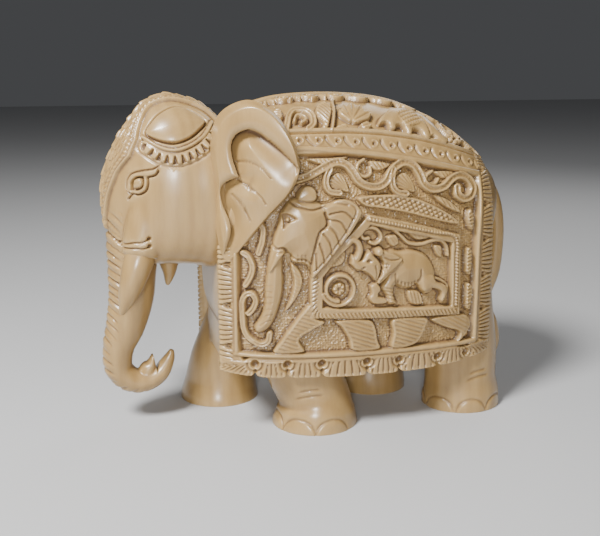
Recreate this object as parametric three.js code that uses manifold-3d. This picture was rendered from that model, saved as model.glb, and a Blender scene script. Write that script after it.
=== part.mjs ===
// A hand-carved wooden elephant in a long saddle cloth, walking, with its trunk curled in under its tusks.
// Millimetres, +Z up. The figure faces -X, its left side -Y. The origin is on the ground under its body.
// It is one solid: every form is shaped as a blank, and the blanks are then joined into one block of wood.
import * as THREE from "three";
import Module from "manifold-3d";
import { mergeVertices } from "three/addons/utils/BufferGeometryUtils.js";

const wasm = await Module();
wasm.setup();

// Driving dimensions
const HEIGHT = 150; // ground to the crown of the head
const CLOTH_THICKNESS = 1; // how far the ground of the saddle cloth stands off the hide
const SKIRT_THICKNESS = 3.4; // the hanging hem of the cloth, below the belly
const BORDER_RELIEF = 1.5; // how far the borders and scrolls stand off that ground
const FIGURE_RELIEF = 2.5; // how far the carved elephants stand off that ground
const HEADDRESS_RELIEF = 0.9; // how far the headdress stands off the head
const EAR_THICKNESS = 6; // the ear's leaf, without its rolled rim
const EAR_ROLL = 2.6; // how far the rolled rim stands out

// Every figure below is drawn on a carving this tall, and scaled to HEIGHT.
const DRAWN_HEIGHT = 150;
const UNIT = HEIGHT / DRAWN_HEIGHT;
const BEYOND = 3 * HEIGHT; // further than the carving reaches any way
const LEFT = -1;
const RIGHT = 1;
const BOTH = 0;
const WAIST = 88; // height of the body's middle line

// Stations along each form: x, y and z of the centre, half width across, half height above it and below it.
const BARREL = [
  [-60, 0, WAIST, 29, 40, 42],
  [-46, 0, WAIST, 33.5, 51, 54],
  [-28, 0, WAIST, 37, 57.5, 57],
  [0, 0, WAIST, 39.3, 58.8, 58],
  [26, 0, WAIST, 38.6, 55.5, 58],
  [48, 0, WAIST, 36.5, 46.5, 58],
  [65, 0, WAIST, 33, 37, 57],
  [76, 0, WAIST - 2, 29, 32, 54],
];
const HEAD = [
  [-40, 0, 104, 30, 34, 32],
  [-56, 0, 104, 33, 45, 36],
  [-68, 0, 104, 29, 46, 30],
  [-78, 0, 104, 27, 45.8, 28],
  [-86, 0, 104, 24.5, 43, 28],
  [-93, 0, 104, 20.5, 36.6, 28],
  [-100, 0, 104, 16, 29.5, 25.5],
  [-106, 0, 104, 11, 20, 20],
];
const TRUNK = [
  [-88, 0, 106, 15, 14, 14],
  [-93, 0, 90, 14, 12.5, 12.5],
  [-94.5, 0, 74, 12, 11, 11],
  [-95.5, 0, 60, 10.5, 10.2, 10.2],
  [-98.5, 0, 47, 9.2, 9, 9],
  [-102.3, 0, 36, 8, 7.2, 7.2],
  [-102.5, 0, 26, 7, 6.4, 6.4],
  [-97, 0, 20, 6.5, 5.8, 5.8],
  [-90, 0, 19.2, 6.3, 5.2, 5.2],
  [-83.5, 0, 22.5, 5.5, 4.2, 4.2],
  [-79.2, 0, 29, 3.5, 2.6, 2.6],
  [-78, 0, 33, 1.6, 1.2, 1.2],
];
const FRONT_LEG_LEFT = [
  [-30, -18, 76, 16, 20, 20],
  [-27, -20, 50, 17, 18, 18],
  [-21, -21.5, 28, 16.5, 17, 17],
  [-15.5, -22, 14, 16.5, 16.5, 16.5],
  [-14.5, -22.5, 6, 18.5, 18.5, 18.5],
  [-14.5, -22.5, 0, 19.5, 20, 20],
  [-14.5, -22.5, -5, 19, 19.5, 19.5],
];
const FRONT_LEG_RIGHT = [
  [-38, 18, 80, 15, 18, 18],
  [-38.5, 20, 55, 15, 14.5, 14.5],
  [-45, 22, 34, 15.5, 15, 15],
  [-50, 23, 18, 16, 16, 16],
  [-51, 23.5, 7, 18, 18, 18],
  [-51.5, 23.5, 0, 19.5, 19.5, 19.5],
  [-51.5, 23.5, -5, 19, 19, 19],
];
const BACK_LEG_LEFT = [
  [52, -16, 76, 16, 22, 22],
  [56, -17, 50, 16.5, 20, 20],
  [61, -17, 28, 16, 18, 18],
  [61.5, -17.3, 14, 16, 17.5, 17.5],
  [62, -17.5, 6, 17, 18.8, 18.8],
  [62, -17.5, 0, 17.5, 19, 19],
  [62, -17.5, -5, 17, 18.5, 18.5],
];
const BACK_LEG_RIGHT = [
  [44, 16, 76, 16, 22, 22],
  [38, 17, 50, 16, 19, 19],
  [31, 17, 28, 15.5, 17, 17],
  [28, 17, 14, 15.5, 16.5, 16.5],
  [27, 17, 6, 16.8, 17.5, 17.5],
  [27, 17, 0, 17.2, 18, 18],
  [27, 17, -5, 17, 17.5, 17.5],
];
const TUSK = [
  [-88, -14, 92, 5, 6, 6],
  [-91.5, -16.5, 84, 6.3, 6.8, 6.8],
  [-94.5, -18, 76, 6, 6.2, 6.2],
  [-98, -18.5, 66, 4.4, 4.6, 4.6],
  [-101.5, -18, 56.5, 1.6, 1.6, 1.6],
];
const LIP = [
  [-78, 0, 84, 8, 8, 8],
  [-78, 0, 76, 6, 5, 5],
  [-78, 0, 70, 4, 3, 3],
  [-79, 0, 64, 1.5, 1.2, 1.2],
];
const TAIL = [
  [70, 0, 110, 4, 4, 4],
  [81, 0, 103, 3.8, 3.8, 3.8],
  [86.5, 0, 86, 3.6, 3.6, 3.6],
  [86, 0, 63, 3.6, 3.6, 3.6],
  [81, 0, 46, 3.6, 3.6, 3.6],
  [84.5, 0, 33, 5, 4.8, 4.8],
  [86, 0, 22, 5, 4.4, 4.4],
  [83, 0, 9, 1.6, 1.4, 1.4],
];

// A number on a smooth curve through four evenly spaced ones, a share of the way between the middle two.
function smooth(before, from, to, after, share) {
  const slopeFrom = (to - before) / 2;
  const slopeTo = (after - from) / 2;
  const s = share;
  return (
    from * (2 * s ** 3 - 3 * s ** 2 + 1) +
    slopeFrom * (s ** 3 - 2 * s ** 2 + s) +
    to * (3 * s ** 2 - 2 * s ** 3) +
    slopeTo * (s ** 3 - s ** 2)
  );
}

// The station a share of the way along a list of them.
function stationAt(stations, share) {
  const last = stations.length - 1;
  const along = Math.min(Math.max(share, 0), 1) * last;
  const i = Math.min(Math.floor(along), last - 1);
  const pick = (k) => stations[Math.min(Math.max(k, 0), last)];
  return pick(i).map((_, c) =>
    smooth(pick(i - 1)[c], pick(i)[c], pick(i + 1)[c], pick(i + 2)[c], along - i),
  );
}

const signedPower = (value, power) => Math.sign(value) * Math.abs(value) ** power;

// A solid from a closed three.js geometry, with its faces turned outwards.
function solidOf(geometry) {
  const bare = geometry.clone();
  for (const name of ["normal", "uv"]) bare.deleteAttribute(name);
  const merged = mergeVertices(bare, 1e-4);
  const triVerts = new Uint32Array(merged.index.array);
  const make = () =>
    new wasm.Manifold(
      new wasm.Mesh({ numProp: 3, vertProperties: merged.attributes.position.array, triVerts }),
    );
  const made = make();
  if (made.volume() >= 0) return made;
  for (let i = 0; i < triVerts.length; i += 3)
    [triVerts[i + 1], triVerts[i + 2]] = [triVerts[i + 2], triVerts[i + 1]];
  return make();
}

// A rounded blank: a sphere whose rings are moved onto the sections of a form.
// square is the section's superellipse power, blunt that of its ends, and grow is added all round.
function blank(stations, options) {
  const { around, along, blunt, bluntStart = blunt, square = 2, squareBelow = square } = options;
  const { grow = 0, side = 1 } = options;
  const geometry = new THREE.SphereGeometry(1, around, along);
  const { position, uv } = geometry.attributes;
  const centre = (share) => new THREE.Vector3().fromArray(stationAt(stations, share));
  for (let i = 0; i < position.count; i++) {
    const ring = Math.PI * (1 - uv.getY(i));
    const turn = 2 * Math.PI * uv.getX(i);
    const share = (1 - Math.cos(ring)) / 2;
    const [, , , across, rise, fall] = stationAt(stations, share);
    const tangent = centre(share + 0.01).sub(centre(share - 0.01)).normalize();
    const sideways = new THREE.Vector3(0, 1, 0).addScaledVector(tangent, -tangent.y).normalize();
    const upright = new THREE.Vector3().crossVectors(tangent, sideways);
    if (Math.abs(tangent.x) > 0.7 && upright.z < 0) upright.negate();
    const roundness = share < 0.5 ? bluntStart : blunt;
    const cap = (1 - Math.abs(Math.cos(ring)) ** roundness) ** (1 / roundness);
    const power = 2 / (Math.cos(turn) > 0 ? square : squareBelow);
    const c = signedPower(Math.cos(turn), power);
    const s = signedPower(Math.sin(turn), power);
    const half = c > 0 ? rise : fall;
    const point = centre(share)
      .multiplyScalar(UNIT)
      .addScaledVector(tangent, -grow * Math.cos(ring))
      .addScaledVector(sideways, s * cap * (across * UNIT + grow))
      .addScaledVector(upright, c * cap * (half * UNIT + grow));
    position.setXYZ(i, point.x, point.y * side, point.z);
  }
  return solidOf(geometry);
}

function join(solids) {
  return solids.reduce((a, b) => a.add(b));
}

// A closed outline in side view, x then z, pushed across the figure on its left, its right or both.
function sidePrism(points, { side = BOTH } = {}) {
  const shape = new THREE.Shape(points.map(([x, z]) => new THREE.Vector2(x * UNIT, z * UNIT)));
  const depth = side === BOTH ? 2 * BEYOND : BEYOND;
  const geometry = new THREE.ExtrudeGeometry(shape, { depth, bevelEnabled: false });
  geometry.translate(0, 0, side === LEFT ? 0 : -BEYOND).rotateX(Math.PI / 2);
  return solidOf(geometry);
}

// A closed outline seen from above, x then y, pushed upwards from the middle of the body.
function topPrism(points) {
  const shape = new THREE.Shape(points.map(([x, y]) => new THREE.Vector2(x * UNIT, y * UNIT)));
  const geometry = new THREE.ExtrudeGeometry(shape, { depth: BEYOND, bevelEnabled: false });
  return solidOf(geometry.translate(0, 0, WAIST * UNIT));
}

// The outline of a carved stem of one width that follows a smooth path.
function stem(path, width, steps) {
  const curve = new THREE.SplineCurve(path.map(([x, z]) => new THREE.Vector2(x, z)));
  const edge = (offset) =>
    Array.from({ length: steps + 1 }, (_, i) => {
      const at = curve.getPoint(i / steps);
      const along = curve.getTangent(i / steps);
      return [at.x - along.y * offset, at.y + along.x * offset];
    });
  return [...edge(width / 2), ...edge(-width / 2).reverse()];
}

// A round outline, by default with ten corners.
function disc([x, z], radius, corners = 10) {
  return Array.from({ length: corners }, (_, i) => {
    const turn = (2 * Math.PI * i) / corners;
    return [x + radius * Math.cos(turn), z + radius * Math.sin(turn)];
  });
}

const mirrored = (points) => points.map(([x, y]) => [x, -y]);

// Body and saddle cloth. The cloth is the barrel grown outwards, and hangs as a skirt below the belly.
const HANG = 110; // how much deeper than the barrel the cloth's sides run, before the hem cuts them off
const SKIRT_TOP = 32; // below this height the skirt is hollow
const barrel = (grow, drop = 0) =>
  blank(
    BARREL.map(([x, y, z, across, rise, fall]) => [x, y, z, across, rise, fall + drop]),
    { around: 32, along: 16, square: 2.5, squareBelow: 5, blunt: 3.4, bluntStart: 7, grow },
  );

const SCALLOPS = 8;
const SCALLOP_DEPTH = 0.9;
const SCALLOP_CORNERS = 3;
const HEM = [
  [-60, 31],
  [-45, 29],
  [-28, 28],
  [0, 27.2],
  [28, 27.2],
  [50, 28.4],
  [68, 30.6],
];
const CLOTH_TOP = [
  [69, 60],
  [68, 100],
  [66, 160],
  [-42, 160],
  [-48, 130],
  [-60, 88],
];

// The lower edge of the cloth, drawn as a row of shallow scallops along the hem line.
function scallopedHem() {
  const line = new THREE.SplineCurve(HEM.map(([x, z]) => new THREE.Vector2(x, z)));
  const steps = SCALLOPS * SCALLOP_CORNERS;
  return Array.from({ length: steps + 1 }, (_, i) => {
    const at = line.getPoint(i / steps);
    return [at.x, at.y + (i % SCALLOP_CORNERS === 0 ? SCALLOP_DEPTH : 0)];
  });
}

const skirtSpace = solidOf(
  new THREE.BoxGeometry(2 * BEYOND, 2 * BEYOND, BEYOND).translate(0, 0, SKIRT_TOP * UNIT - BEYOND / 2),
);
const clothOutline = sidePrism([...scallopedHem(), ...CLOTH_TOP]);
const ground = solidOf(new THREE.BoxGeometry(2 * BEYOND, 2 * BEYOND, BEYOND).translate(0, 0, BEYOND / 2));

// The fields sunk between the borders: one on each side, and the runner along the back.
const CLOTH_FIELD = [
  [-54, 39],
  [-26, 35.8],
  [-4, 34.4],
  [22, 34.2],
  [42, 35],
  [59, 36.4],
  [59, 84],
  [61, 115],
  [48, 119],
  [37, 121.7],
  [25, 123.9],
  [-7, 126.5],
  [-40, 127],
  [-50, 96],
];
const RUNNER_FIELD = [
  [-40, -27],
  [0, -28.5],
  [24, -27.5],
  [44, -23.5],
  [62, -17],
  [62, 17],
  [44, 23.5],
  [24, 27.5],
  [0, 28.5],
  [-40, 27],
];
const fields = sidePrism(CLOTH_FIELD)
  .add(topPrism(RUNNER_FIELD))
  .subtract(barrel(CLOTH_THICKNESS, HANG));

const saddleCloth = barrel(CLOTH_THICKNESS + BORDER_RELIEF, HANG)
  .intersect(clothOutline)
  .subtract(barrel(CLOTH_THICKNESS - SKIRT_THICKNESS, HANG).intersect(skirtSpace))
  .subtract(fields);

// Carving that stands off the cloth by a height: the outlines are joined, and holes are cut through them.
function relief(height, outlines, { holes = [], side = BOTH, prism = sidePrism } = {}) {
  const solid = join(outlines.map((points) => prism(points, { side })));
  const open = holes.reduce((rest, points) => rest.subtract(prism(points, { side })), solid);
  return barrel(CLOTH_THICKNESS + height, HANG).intersect(open).subtract(barrel(0, HANG));
}

// The elephant carved on the side: its head and ear, the legs under its own cloth, and that cloth's frame.
const CARVED_HEAD = [
  [-27, 110],
  [-23, 113.5],
  [-19, 111.5],
  [-17, 107.5],
  [-8, 106],
  [1, 99.5],
  [-1, 93.5],
  [-13, 80.5],
  [-22, 72],
  [-29, 75],
  [-34, 71],
  [-36, 64],
  [-42, 55.5],
  [-47, 51.5],
  [-50.5, 53],
  [-46.5, 60],
  [-43, 69],
  [-41.5, 78],
  [-39, 90],
  [-36, 98],
  [-31, 105],
];
const CARVED_LEGS = [
  [
    [-22, 74],
    [-10, 58],
    [-10, 52.5],
    [-20, 49.5],
    [-27, 44.5],
    [-28, 38.5],
    [-38, 39],
    [-34, 49],
    [-27, 57],
    [-26, 66],
  ],
  [
    [-7, 53],
    [10, 53],
    [10, 38],
    [-1, 38],
  ],
  [
    [17, 53],
    [33, 53],
    [33, 37.5],
    [17, 38],
  ],
];
const PANEL = [
  [-22, 54.5],
  [51, 48.8],
  [51, 89],
  [1.5, 99.5],
  [-1, 93.5],
  [-22, 72],
];
const PANEL_FIELD = [
  [-18.4, 58],
  [47.5, 52.6],
  [47.5, 85.8],
  [3, 95.5],
  [1.5, 92],
  [-18.4, 71],
];
const CANOPY = [
  [-3.5, 107.5],
  [7, 107.3],
  [19, 108.8],
  [33.5, 103.4],
  [47, 94],
  [39, 93.4],
  [18.5, 98.4],
  [2, 102],
];
const SMALL_ELEPHANT = [
  [-5, 87.5],
  [-2.5, 88],
  [-1, 83],
  [6, 84],
  [9, 86.5],
  [12, 83.5],
  [20, 85],
  [28, 83.5],
  [35, 78],
  [38.5, 71],
  [39, 65.5],
  [42.5, 63],
  [36.5, 62.5],
  [36, 58.8],
  [30, 59],
  [29, 65],
  [25, 66],
  [26, 60],
  [18, 60.5],
  [18, 66],
  [14, 68.5],
  [9, 61.5],
  [4, 62],
  [8, 71],
  [-1, 76],
  [-4.5, 81],
];
const ROSETTE = { centre: [-9, 67.8], radius: 6.4, hollow: 4.3, eye: 2 };

// Scrolling stems: the vine under the band, its leaves, and the scrolls in front of the carved trunk.
const VINE = [
  [-26, 116],
  [-17, 120.5],
  [-9.6, 122.3],
  [-2.5, 119],
  [0.5, 113.5],
  [4, 112.3],
  [9.7, 115.2],
  [14.7, 119.7],
  [20, 121],
  [26.7, 118.5],
  [29.7, 113.5],
  [33.8, 107.8],
  [41, 108.6],
  [47, 113.3],
  [53, 112.8],
  [56, 108],
  [51, 103.5],
  [47, 106.5],
];
const VINE_WIDTH = 3.2;
const VINE_STEPS = 16;
const SCROLL_WIDTH = 2.6;
const SCROLL_STEPS = 6;
const LEAF_RADIUS = 3.2;
const LEAF_CORNERS = 6;
const VINE_LEAVES = [
  [-7, 115],
  [23.3, 113.6],
  [8, 121],
  [38, 115.8],
];
const FRONT_SCROLLS = [
  [
    [-45.5, 83],
    [-50, 80],
    [-47.5, 74],
    [-46.5, 67],
    [-50, 62.5],
  ],
  [
    [-51, 49],
    [-47, 44],
    [-42, 42.5],
  ],
];

const flank = [
  relief(FIGURE_RELIEF, [CARVED_HEAD]),
  relief(BORDER_RELIEF, CARVED_LEGS),
  relief(BORDER_RELIEF, [PANEL], { holes: [PANEL_FIELD] }),
  relief(BORDER_RELIEF, [CANOPY]),
  relief(BORDER_RELIEF, [stem(VINE, VINE_WIDTH, VINE_STEPS)]),
  relief(BORDER_RELIEF, VINE_LEAVES.map((leaf) => disc(leaf, LEAF_RADIUS, LEAF_CORNERS)), { side: LEFT }),
  relief(BORDER_RELIEF, FRONT_SCROLLS.map((path) => stem(path, SCROLL_WIDTH, SCROLL_STEPS)), { side: LEFT }),
  relief(FIGURE_RELIEF, [SMALL_ELEPHANT], { side: LEFT }),
  relief(BORDER_RELIEF, [disc(ROSETTE.centre, ROSETTE.radius)], {
    holes: [disc(ROSETTE.centre, ROSETTE.hollow)],
    side: LEFT,
  }),
  relief(BORDER_RELIEF, [disc(ROSETTE.centre, ROSETTE.eye, LEAF_CORNERS)], { side: LEFT }),
];

// Back runner: flowers, leaves and a small elephant on each side of a plain spine.
const FLOWER = { centre: [-2, -13], radius: 6.5, corners: 8 };
const RUNNER_FIGURES = [
  [
    [-34, -8],
    [-27, -5],
    [-21, -9],
    [-14, -6],
    [-15, -13],
    [-22, -19],
    [-30, -17],
  ],
  disc(FLOWER.centre, FLOWER.radius, FLOWER.corners),
  [
    [10, -15],
    [14, -7],
    [24, -5],
    [38, -6],
    [44, -11],
    [42, -17],
    [36, -19],
    [30, -16],
    [22, -20],
    [14, -20],
  ],
];
const bothSides = [...RUNNER_FIGURES, ...RUNNER_FIGURES.map(mirrored)];
const runner = relief(BORDER_RELIEF, bothSides, { prism: topPrism });

// Ear: a leaf with a rolled rim. Its outline is a distance from the centre for each direction in side view.
const EAR_CENTRE = [-46, 118];
const EAR_OUTLINE = [
  [-62, 130],
  [-58.5, 143],
  [-48, 149],
  [-38.5, 145],
  [-31.5, 135],
  [-28, 122],
  [-31.5, 111],
  [-41, 99],
  [-50, 88],
  [-57, 80.5],
  [-60.5, 92],
  [-60.5, 111],
];
const EAR_ROOT = { x: -62, y: 26 };
const EAR_FLARE = 0.55; // how far the ear swings outwards for each step back from its root
const EAR_FULLNESS = 0.8; // less than 1 keeps the leaf thick out towards its rim
const ROLL_AT = 0.8; // the roll's crest, as a share of the way out to the rim
const ROLL_WIDTH = 0.16;
const FAR_EAR_SHIFT = [9, 8]; // the far ear is held further forward and lower

function ear(side) {
  const geometry = new THREE.SphereGeometry(1, 24, 10);
  const { position, uv } = geometry.attributes;
  const outline = new THREE.SplineCurve(
    [...EAR_OUTLINE, EAR_OUTLINE[0]].map(([x, z]) => new THREE.Vector2(x, z)),
  );
  const [forward, drop] = side === RIGHT ? FAR_EAR_SHIFT : [0, 0];
  for (let i = 0; i < position.count; i++) {
    const ring = Math.PI * (1 - uv.getY(i));
    const rim = outline.getPoint(Math.min(Math.max(uv.getX(i), 0), 1));
    const reach = Math.sin(ring) ** EAR_FULLNESS;
    const x = EAR_CENTRE[0] + (rim.x - EAR_CENTRE[0]) * reach;
    const z = EAR_CENTRE[1] + (rim.y - EAR_CENTRE[1]) * reach;
    const roll = Math.cos(ring) > 0 ? EAR_ROLL * Math.exp(-(((reach - ROLL_AT) / ROLL_WIDTH) ** 2)) : 0;
    const leaf = (EAR_THICKNESS / 2) * Math.cos(ring) + roll;
    const y = (EAR_ROOT.y + (x - EAR_ROOT.x) * EAR_FLARE) * UNIT + leaf;
    position.setXYZ(i, (x - forward) * UNIT, y * side, (z - drop) * UNIT);
  }
  return solidOf(geometry);
}

// A closed outline seen from the front, y then z, pushed back as far as the nape.
function frontPrism(points) {
  const shape = new THREE.Shape(points.map(([y, z]) => new THREE.Vector2(y * UNIT, z * UNIT)));
  const geometry = new THREE.ExtrudeGeometry(shape, { depth: BEYOND, bevelEnabled: false });
  geometry.translate(0, 0, NAPE * UNIT - BEYOND).rotateX(Math.PI / 2).rotateZ(Math.PI / 2);
  return solidOf(geometry);
}

// Head, with an almond boss on each side of the crown, a toothed band under it and a band down the forehead.
const NAPE = -52;
const ALMOND = [
  [-88, 134.5],
  [-85, 139.5],
  [-81, 143],
  [-75, 145.3],
  [-68.5, 144],
  [-62.3, 139.4],
  [-66, 135.4],
  [-71, 132.3],
  [-77, 130.8],
  [-83, 131.8],
];
const TOOTHED_BAND = {
  upper: [
    [-88.6, 132.4],
    [-83, 129],
    [-76.7, 127.6],
    [-70, 129],
    [-64.4, 132.3],
    [-58.4, 139],
  ],
  lower: [
    [-89, 128.8],
    [-83.6, 125.2],
    [-76.6, 123.8],
    [-69.6, 125.6],
    [-63.3, 129.4],
    [-58, 136.4],
  ],
  teeth: 7,
  tooth: 1.4,
};
const FOREHEAD_BAND = [
  [-4, 90],
  [-8.6, 107],
  [-12, 118],
  [-15.5, 125],
  [-15.5, 132],
  [-12, 141],
  [-9.5, 146],
  [-9, 160],
  [9, 160],
  [9.5, 146],
  [12, 141],
  [15.5, 132],
  [15.5, 125],
  [12, 118],
  [8.6, 107],
  [4, 90],
];
const EYE = { centre: [-92, 18.6, 114.6], radius: 2.6, around: 8, along: 5 };

function toothedBand({ upper, lower, teeth, tooth }) {
  const curve = new THREE.SplineCurve(lower.map(([x, z]) => new THREE.Vector2(x, z)));
  const edge = Array.from({ length: 2 * teeth + 1 }, (_, i) => {
    const at = curve.getPoint(i / (2 * teeth));
    return [at.x, at.y - (i % 2) * tooth];
  });
  return [...upper, ...edge.reverse()];
}

const head = (grow) =>
  blank(HEAD, { around: 24, along: 14, square: 2.2, squareBelow: 3.2, blunt: 2.6, grow });
const headdress = join([
  sidePrism(ALMOND),
  sidePrism(toothedBand(TOOTHED_BAND)),
  frontPrism(FOREHEAD_BAND),
]);
const eye = (side) => {
  const [x, y, z] = EYE.centre;
  const ball = new THREE.SphereGeometry(EYE.radius * UNIT, EYE.around, EYE.along);
  return solidOf(ball.translate(x * UNIT, y * side * UNIT, z * UNIT));
};

const limbs = [
  barrel(0),
  saddleCloth,
  ...flank,
  runner,
  ear(LEFT),
  ear(RIGHT),
  head(0),
  head(HEADDRESS_RELIEF).intersect(headdress),
  eye(LEFT),
  eye(RIGHT),
  blank(TRUNK, { around: 12, along: 22, blunt: 8 }),
  ...[FRONT_LEG_LEFT, FRONT_LEG_RIGHT, BACK_LEG_LEFT, BACK_LEG_RIGHT].map((leg) =>
    blank(leg, { around: 16, along: 10, blunt: 9 }),
  ),
  blank(TUSK, { around: 10, along: 9, blunt: 4 }),
  blank(TUSK, { around: 10, along: 9, blunt: 4, side: -1 }),
  blank(LIP, { around: 10, along: 7, blunt: 4 }),
  blank(TAIL, { around: 6, along: 17, blunt: 8 }),
];

const figure = join(limbs).intersect(ground);

const mesh = figure.getMesh();
const geometry = new THREE.BufferGeometry();
geometry.setAttribute("position", new THREE.BufferAttribute(mesh.vertProperties, 3));
geometry.setIndex(new THREE.BufferAttribute(mesh.triVerts, 1));
geometry.computeVertexNormals();

const wood = new THREE.MeshStandardMaterial({ color: 0xd1b27f, roughness: 0.42, metalness: 0 });
const elephant = new THREE.Mesh(geometry, wood);
elephant.name = "elephant";

// The figure is drawn from the middle of its body, and stands with the middle of its length on the origin.
geometry.computeBoundingBox();
elephant.position.x = -(geometry.boundingBox.min.x + geometry.boundingBox.max.x) / 2;

const carving = new THREE.Group();
carving.add(elephant);

export default carving;
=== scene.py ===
"""A carved wooden elephant under a carved saddle cloth, on a pale studio floor.

Lengths in the tables are in millimetres, drawn from the middle of the elephant's body: x runs from its
head to its tail, y across it and z up from the floor.
"""

import math

import bpy
import numpy as np
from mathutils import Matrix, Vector


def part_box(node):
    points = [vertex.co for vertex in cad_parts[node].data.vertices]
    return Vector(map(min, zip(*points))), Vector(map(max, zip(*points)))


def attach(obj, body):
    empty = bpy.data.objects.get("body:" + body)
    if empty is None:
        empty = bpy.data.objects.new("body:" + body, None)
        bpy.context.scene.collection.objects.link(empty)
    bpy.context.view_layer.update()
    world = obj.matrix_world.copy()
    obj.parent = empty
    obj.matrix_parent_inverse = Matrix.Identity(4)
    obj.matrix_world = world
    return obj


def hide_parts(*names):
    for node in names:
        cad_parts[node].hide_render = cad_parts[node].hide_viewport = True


bl_info = {
    "name": "Carved Wooden Elephant",
    "version": (1, 0, 0),
    "blender": (4, 5, 0),
    "location": "3D View > Sidebar > Elephant",
    "description": "Models a carved wooden elephant with a saddle cloth in relief",
    "category": "Add Mesh",
}

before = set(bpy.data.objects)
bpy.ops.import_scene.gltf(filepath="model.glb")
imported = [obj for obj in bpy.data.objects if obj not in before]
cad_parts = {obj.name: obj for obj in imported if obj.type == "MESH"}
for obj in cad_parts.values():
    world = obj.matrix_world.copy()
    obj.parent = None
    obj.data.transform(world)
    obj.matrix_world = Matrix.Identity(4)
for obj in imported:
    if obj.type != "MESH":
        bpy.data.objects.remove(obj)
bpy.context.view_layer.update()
MM = 0.001
DRAWN_FRONT = -109.7
FRAME_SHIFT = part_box("elephant")[0].x / MM - DRAWN_FRONT

# The forms of the figure. Each is a row of sections: the middle's x, y and z, the reach across, upwards
# and downwards (or forwards and backwards where the form stands upright).
BARREL = [
    [-60, 0, 88, 29, 40, 42],
    [-46, 0, 88, 33.5, 51, 54],
    [-28, 0, 88, 37, 57.5, 57],
    [0, 0, 88, 39.3, 58.8, 58],
    [26, 0, 88, 38.6, 55.5, 58],
    [48, 0, 88, 36.5, 46.5, 58],
    [65, 0, 88, 33, 37, 57],
    [76, 0, 86, 29, 32, 54],
]
BARREL_SHAPE = {"square": 2.5, "square_below": 5, "blunt": 3.4, "blunt_start": 7}
HEAD = [
    [-40, 0, 104, 30, 34, 32],
    [-56, 0, 104, 33, 45, 36],
    [-68, 0, 104, 29, 46, 30],
    [-78, 0, 104, 27, 45.8, 28],
    [-86, 0, 104, 24.5, 43, 28],
    [-93, 0, 104, 20.5, 36.6, 28],
    [-100, 0, 104, 16, 29.5, 25.5],
    [-106, 0, 104, 11, 20, 20],
]
TRUNK = [
    [-88, 0, 106, 15, 14, 14],
    [-93, 0, 90, 14, 12.5, 12.5],
    [-94.5, 0, 74, 12, 11, 11],
    [-95.5, 0, 60, 10.5, 10.2, 10.2],
    [-98.5, 0, 47, 9.2, 9, 9],
    [-102.3, 0, 36, 8, 7.2, 7.2],
    [-102.5, 0, 26, 7, 6.4, 6.4],
    [-97, 0, 20, 6.5, 5.8, 5.8],
    [-90, 0, 19.2, 6.3, 5.2, 5.2],
    [-83.5, 0, 22.5, 5.5, 4.2, 4.2],
    [-79.2, 0, 29, 3.5, 2.6, 2.6],
    [-78, 0, 33, 1.6, 1.2, 1.2],
]
LIP = [
    [-78, 0, 84, 8, 8, 8],
    [-78, 0, 76, 6, 5, 5],
    [-78, 0, 70, 4, 3, 3],
    [-79, 0, 64, 1.5, 1.2, 1.2],
]
FRONT_LEG_LEFT = [
    [-30, -18, 76, 16, 20, 20],
    [-27, -20, 50, 17, 18, 18],
    [-21, -21.5, 28, 16.5, 17, 17],
    [-15.5, -22, 14, 16.5, 16.5, 16.5],
    [-14.5, -22.5, 6, 18.5, 18.5, 18.5],
    [-14.5, -22.5, 0, 19.5, 20, 20],
    [-14.5, -22.5, -5, 19, 19.5, 19.5],
]
FRONT_LEG_RIGHT = [
    [-38, 18, 80, 15, 18, 18],
    [-38.5, 20, 55, 15, 14.5, 14.5],
    [-45, 22, 34, 15.5, 15, 15],
    [-50, 23, 18, 16, 16, 16],
    [-51, 23.5, 7, 18, 18, 18],
    [-51.5, 23.5, 0, 19.5, 19.5, 19.5],
    [-51.5, 23.5, -5, 19, 19, 19],
]
BACK_LEG_LEFT = [
    [52, -16, 76, 16, 22, 22],
    [56, -17, 50, 16.5, 20, 20],
    [61, -17, 28, 16, 18, 18],
    [61.5, -17.3, 14, 16, 17.5, 17.5],
    [62, -17.5, 6, 17, 18.8, 18.8],
    [62, -17.5, 0, 17.5, 19, 19],
    [62, -17.5, -5, 17, 18.5, 18.5],
]
BACK_LEG_RIGHT = [
    [44, 16, 76, 16, 22, 22],
    [38, 17, 50, 16, 19, 19],
    [31, 17, 28, 15.5, 17, 17],
    [28, 17, 14, 15.5, 16.5, 16.5],
    [27, 17, 6, 16.8, 17.5, 17.5],
    [27, 17, 0, 17.2, 18, 18],
    [27, 17, -5, 17, 17.5, 17.5],
]
LEGS = [FRONT_LEG_LEFT, FRONT_LEG_RIGHT, BACK_LEG_LEFT, BACK_LEG_RIGHT]
TAIL = [
    [70, 0, 110, 4, 4, 4],
    [81, 0, 103, 3.8, 3.8, 3.8],
    [86.5, 0, 86, 3.6, 3.6, 3.6],
    [86, 0, 63, 3.6, 3.6, 3.6],
    [81, 0, 46, 3.6, 3.6, 3.6],
    [84.5, 0, 33, 5, 4.8, 4.8],
    [86, 0, 22, 5, 4.4, 4.4],
    [83, 0, 9, 1.6, 1.4, 1.4],
]
TUSK = [
    [-90, -14.5, 88, 5, 5.6, 5.6],
    [-91.5, -16.3, 84, 6.0, 6.7, 6.7],
    [-94.5, -18, 76, 6, 6.2, 6.2],
    [-98, -18.5, 66, 4.4, 4.6, 4.6],
    [-101.5, -18, 56.5, 1.6, 1.6, 1.6],
]

# The height where the cloth's side turns under, the barrel's extra depth below it, and how far the cloth's
# face stands outside the barrel. The belly is a smaller barrel cut off at the skirt's top.
WAIST = 88
HANG = 110
CLOTH_FACE = 2.5
SKIRT_INSIDE = -2.4
SKIRT_TOP = 32

# The carved sheets: how deep their ground lies, how thick they are, and how far down from the spine the
# runner reaches at least.
GROUND_DEPTH = 1.5
SHEET_THICKNESS = 3.4
RUNNER_LEAST = 9

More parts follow.
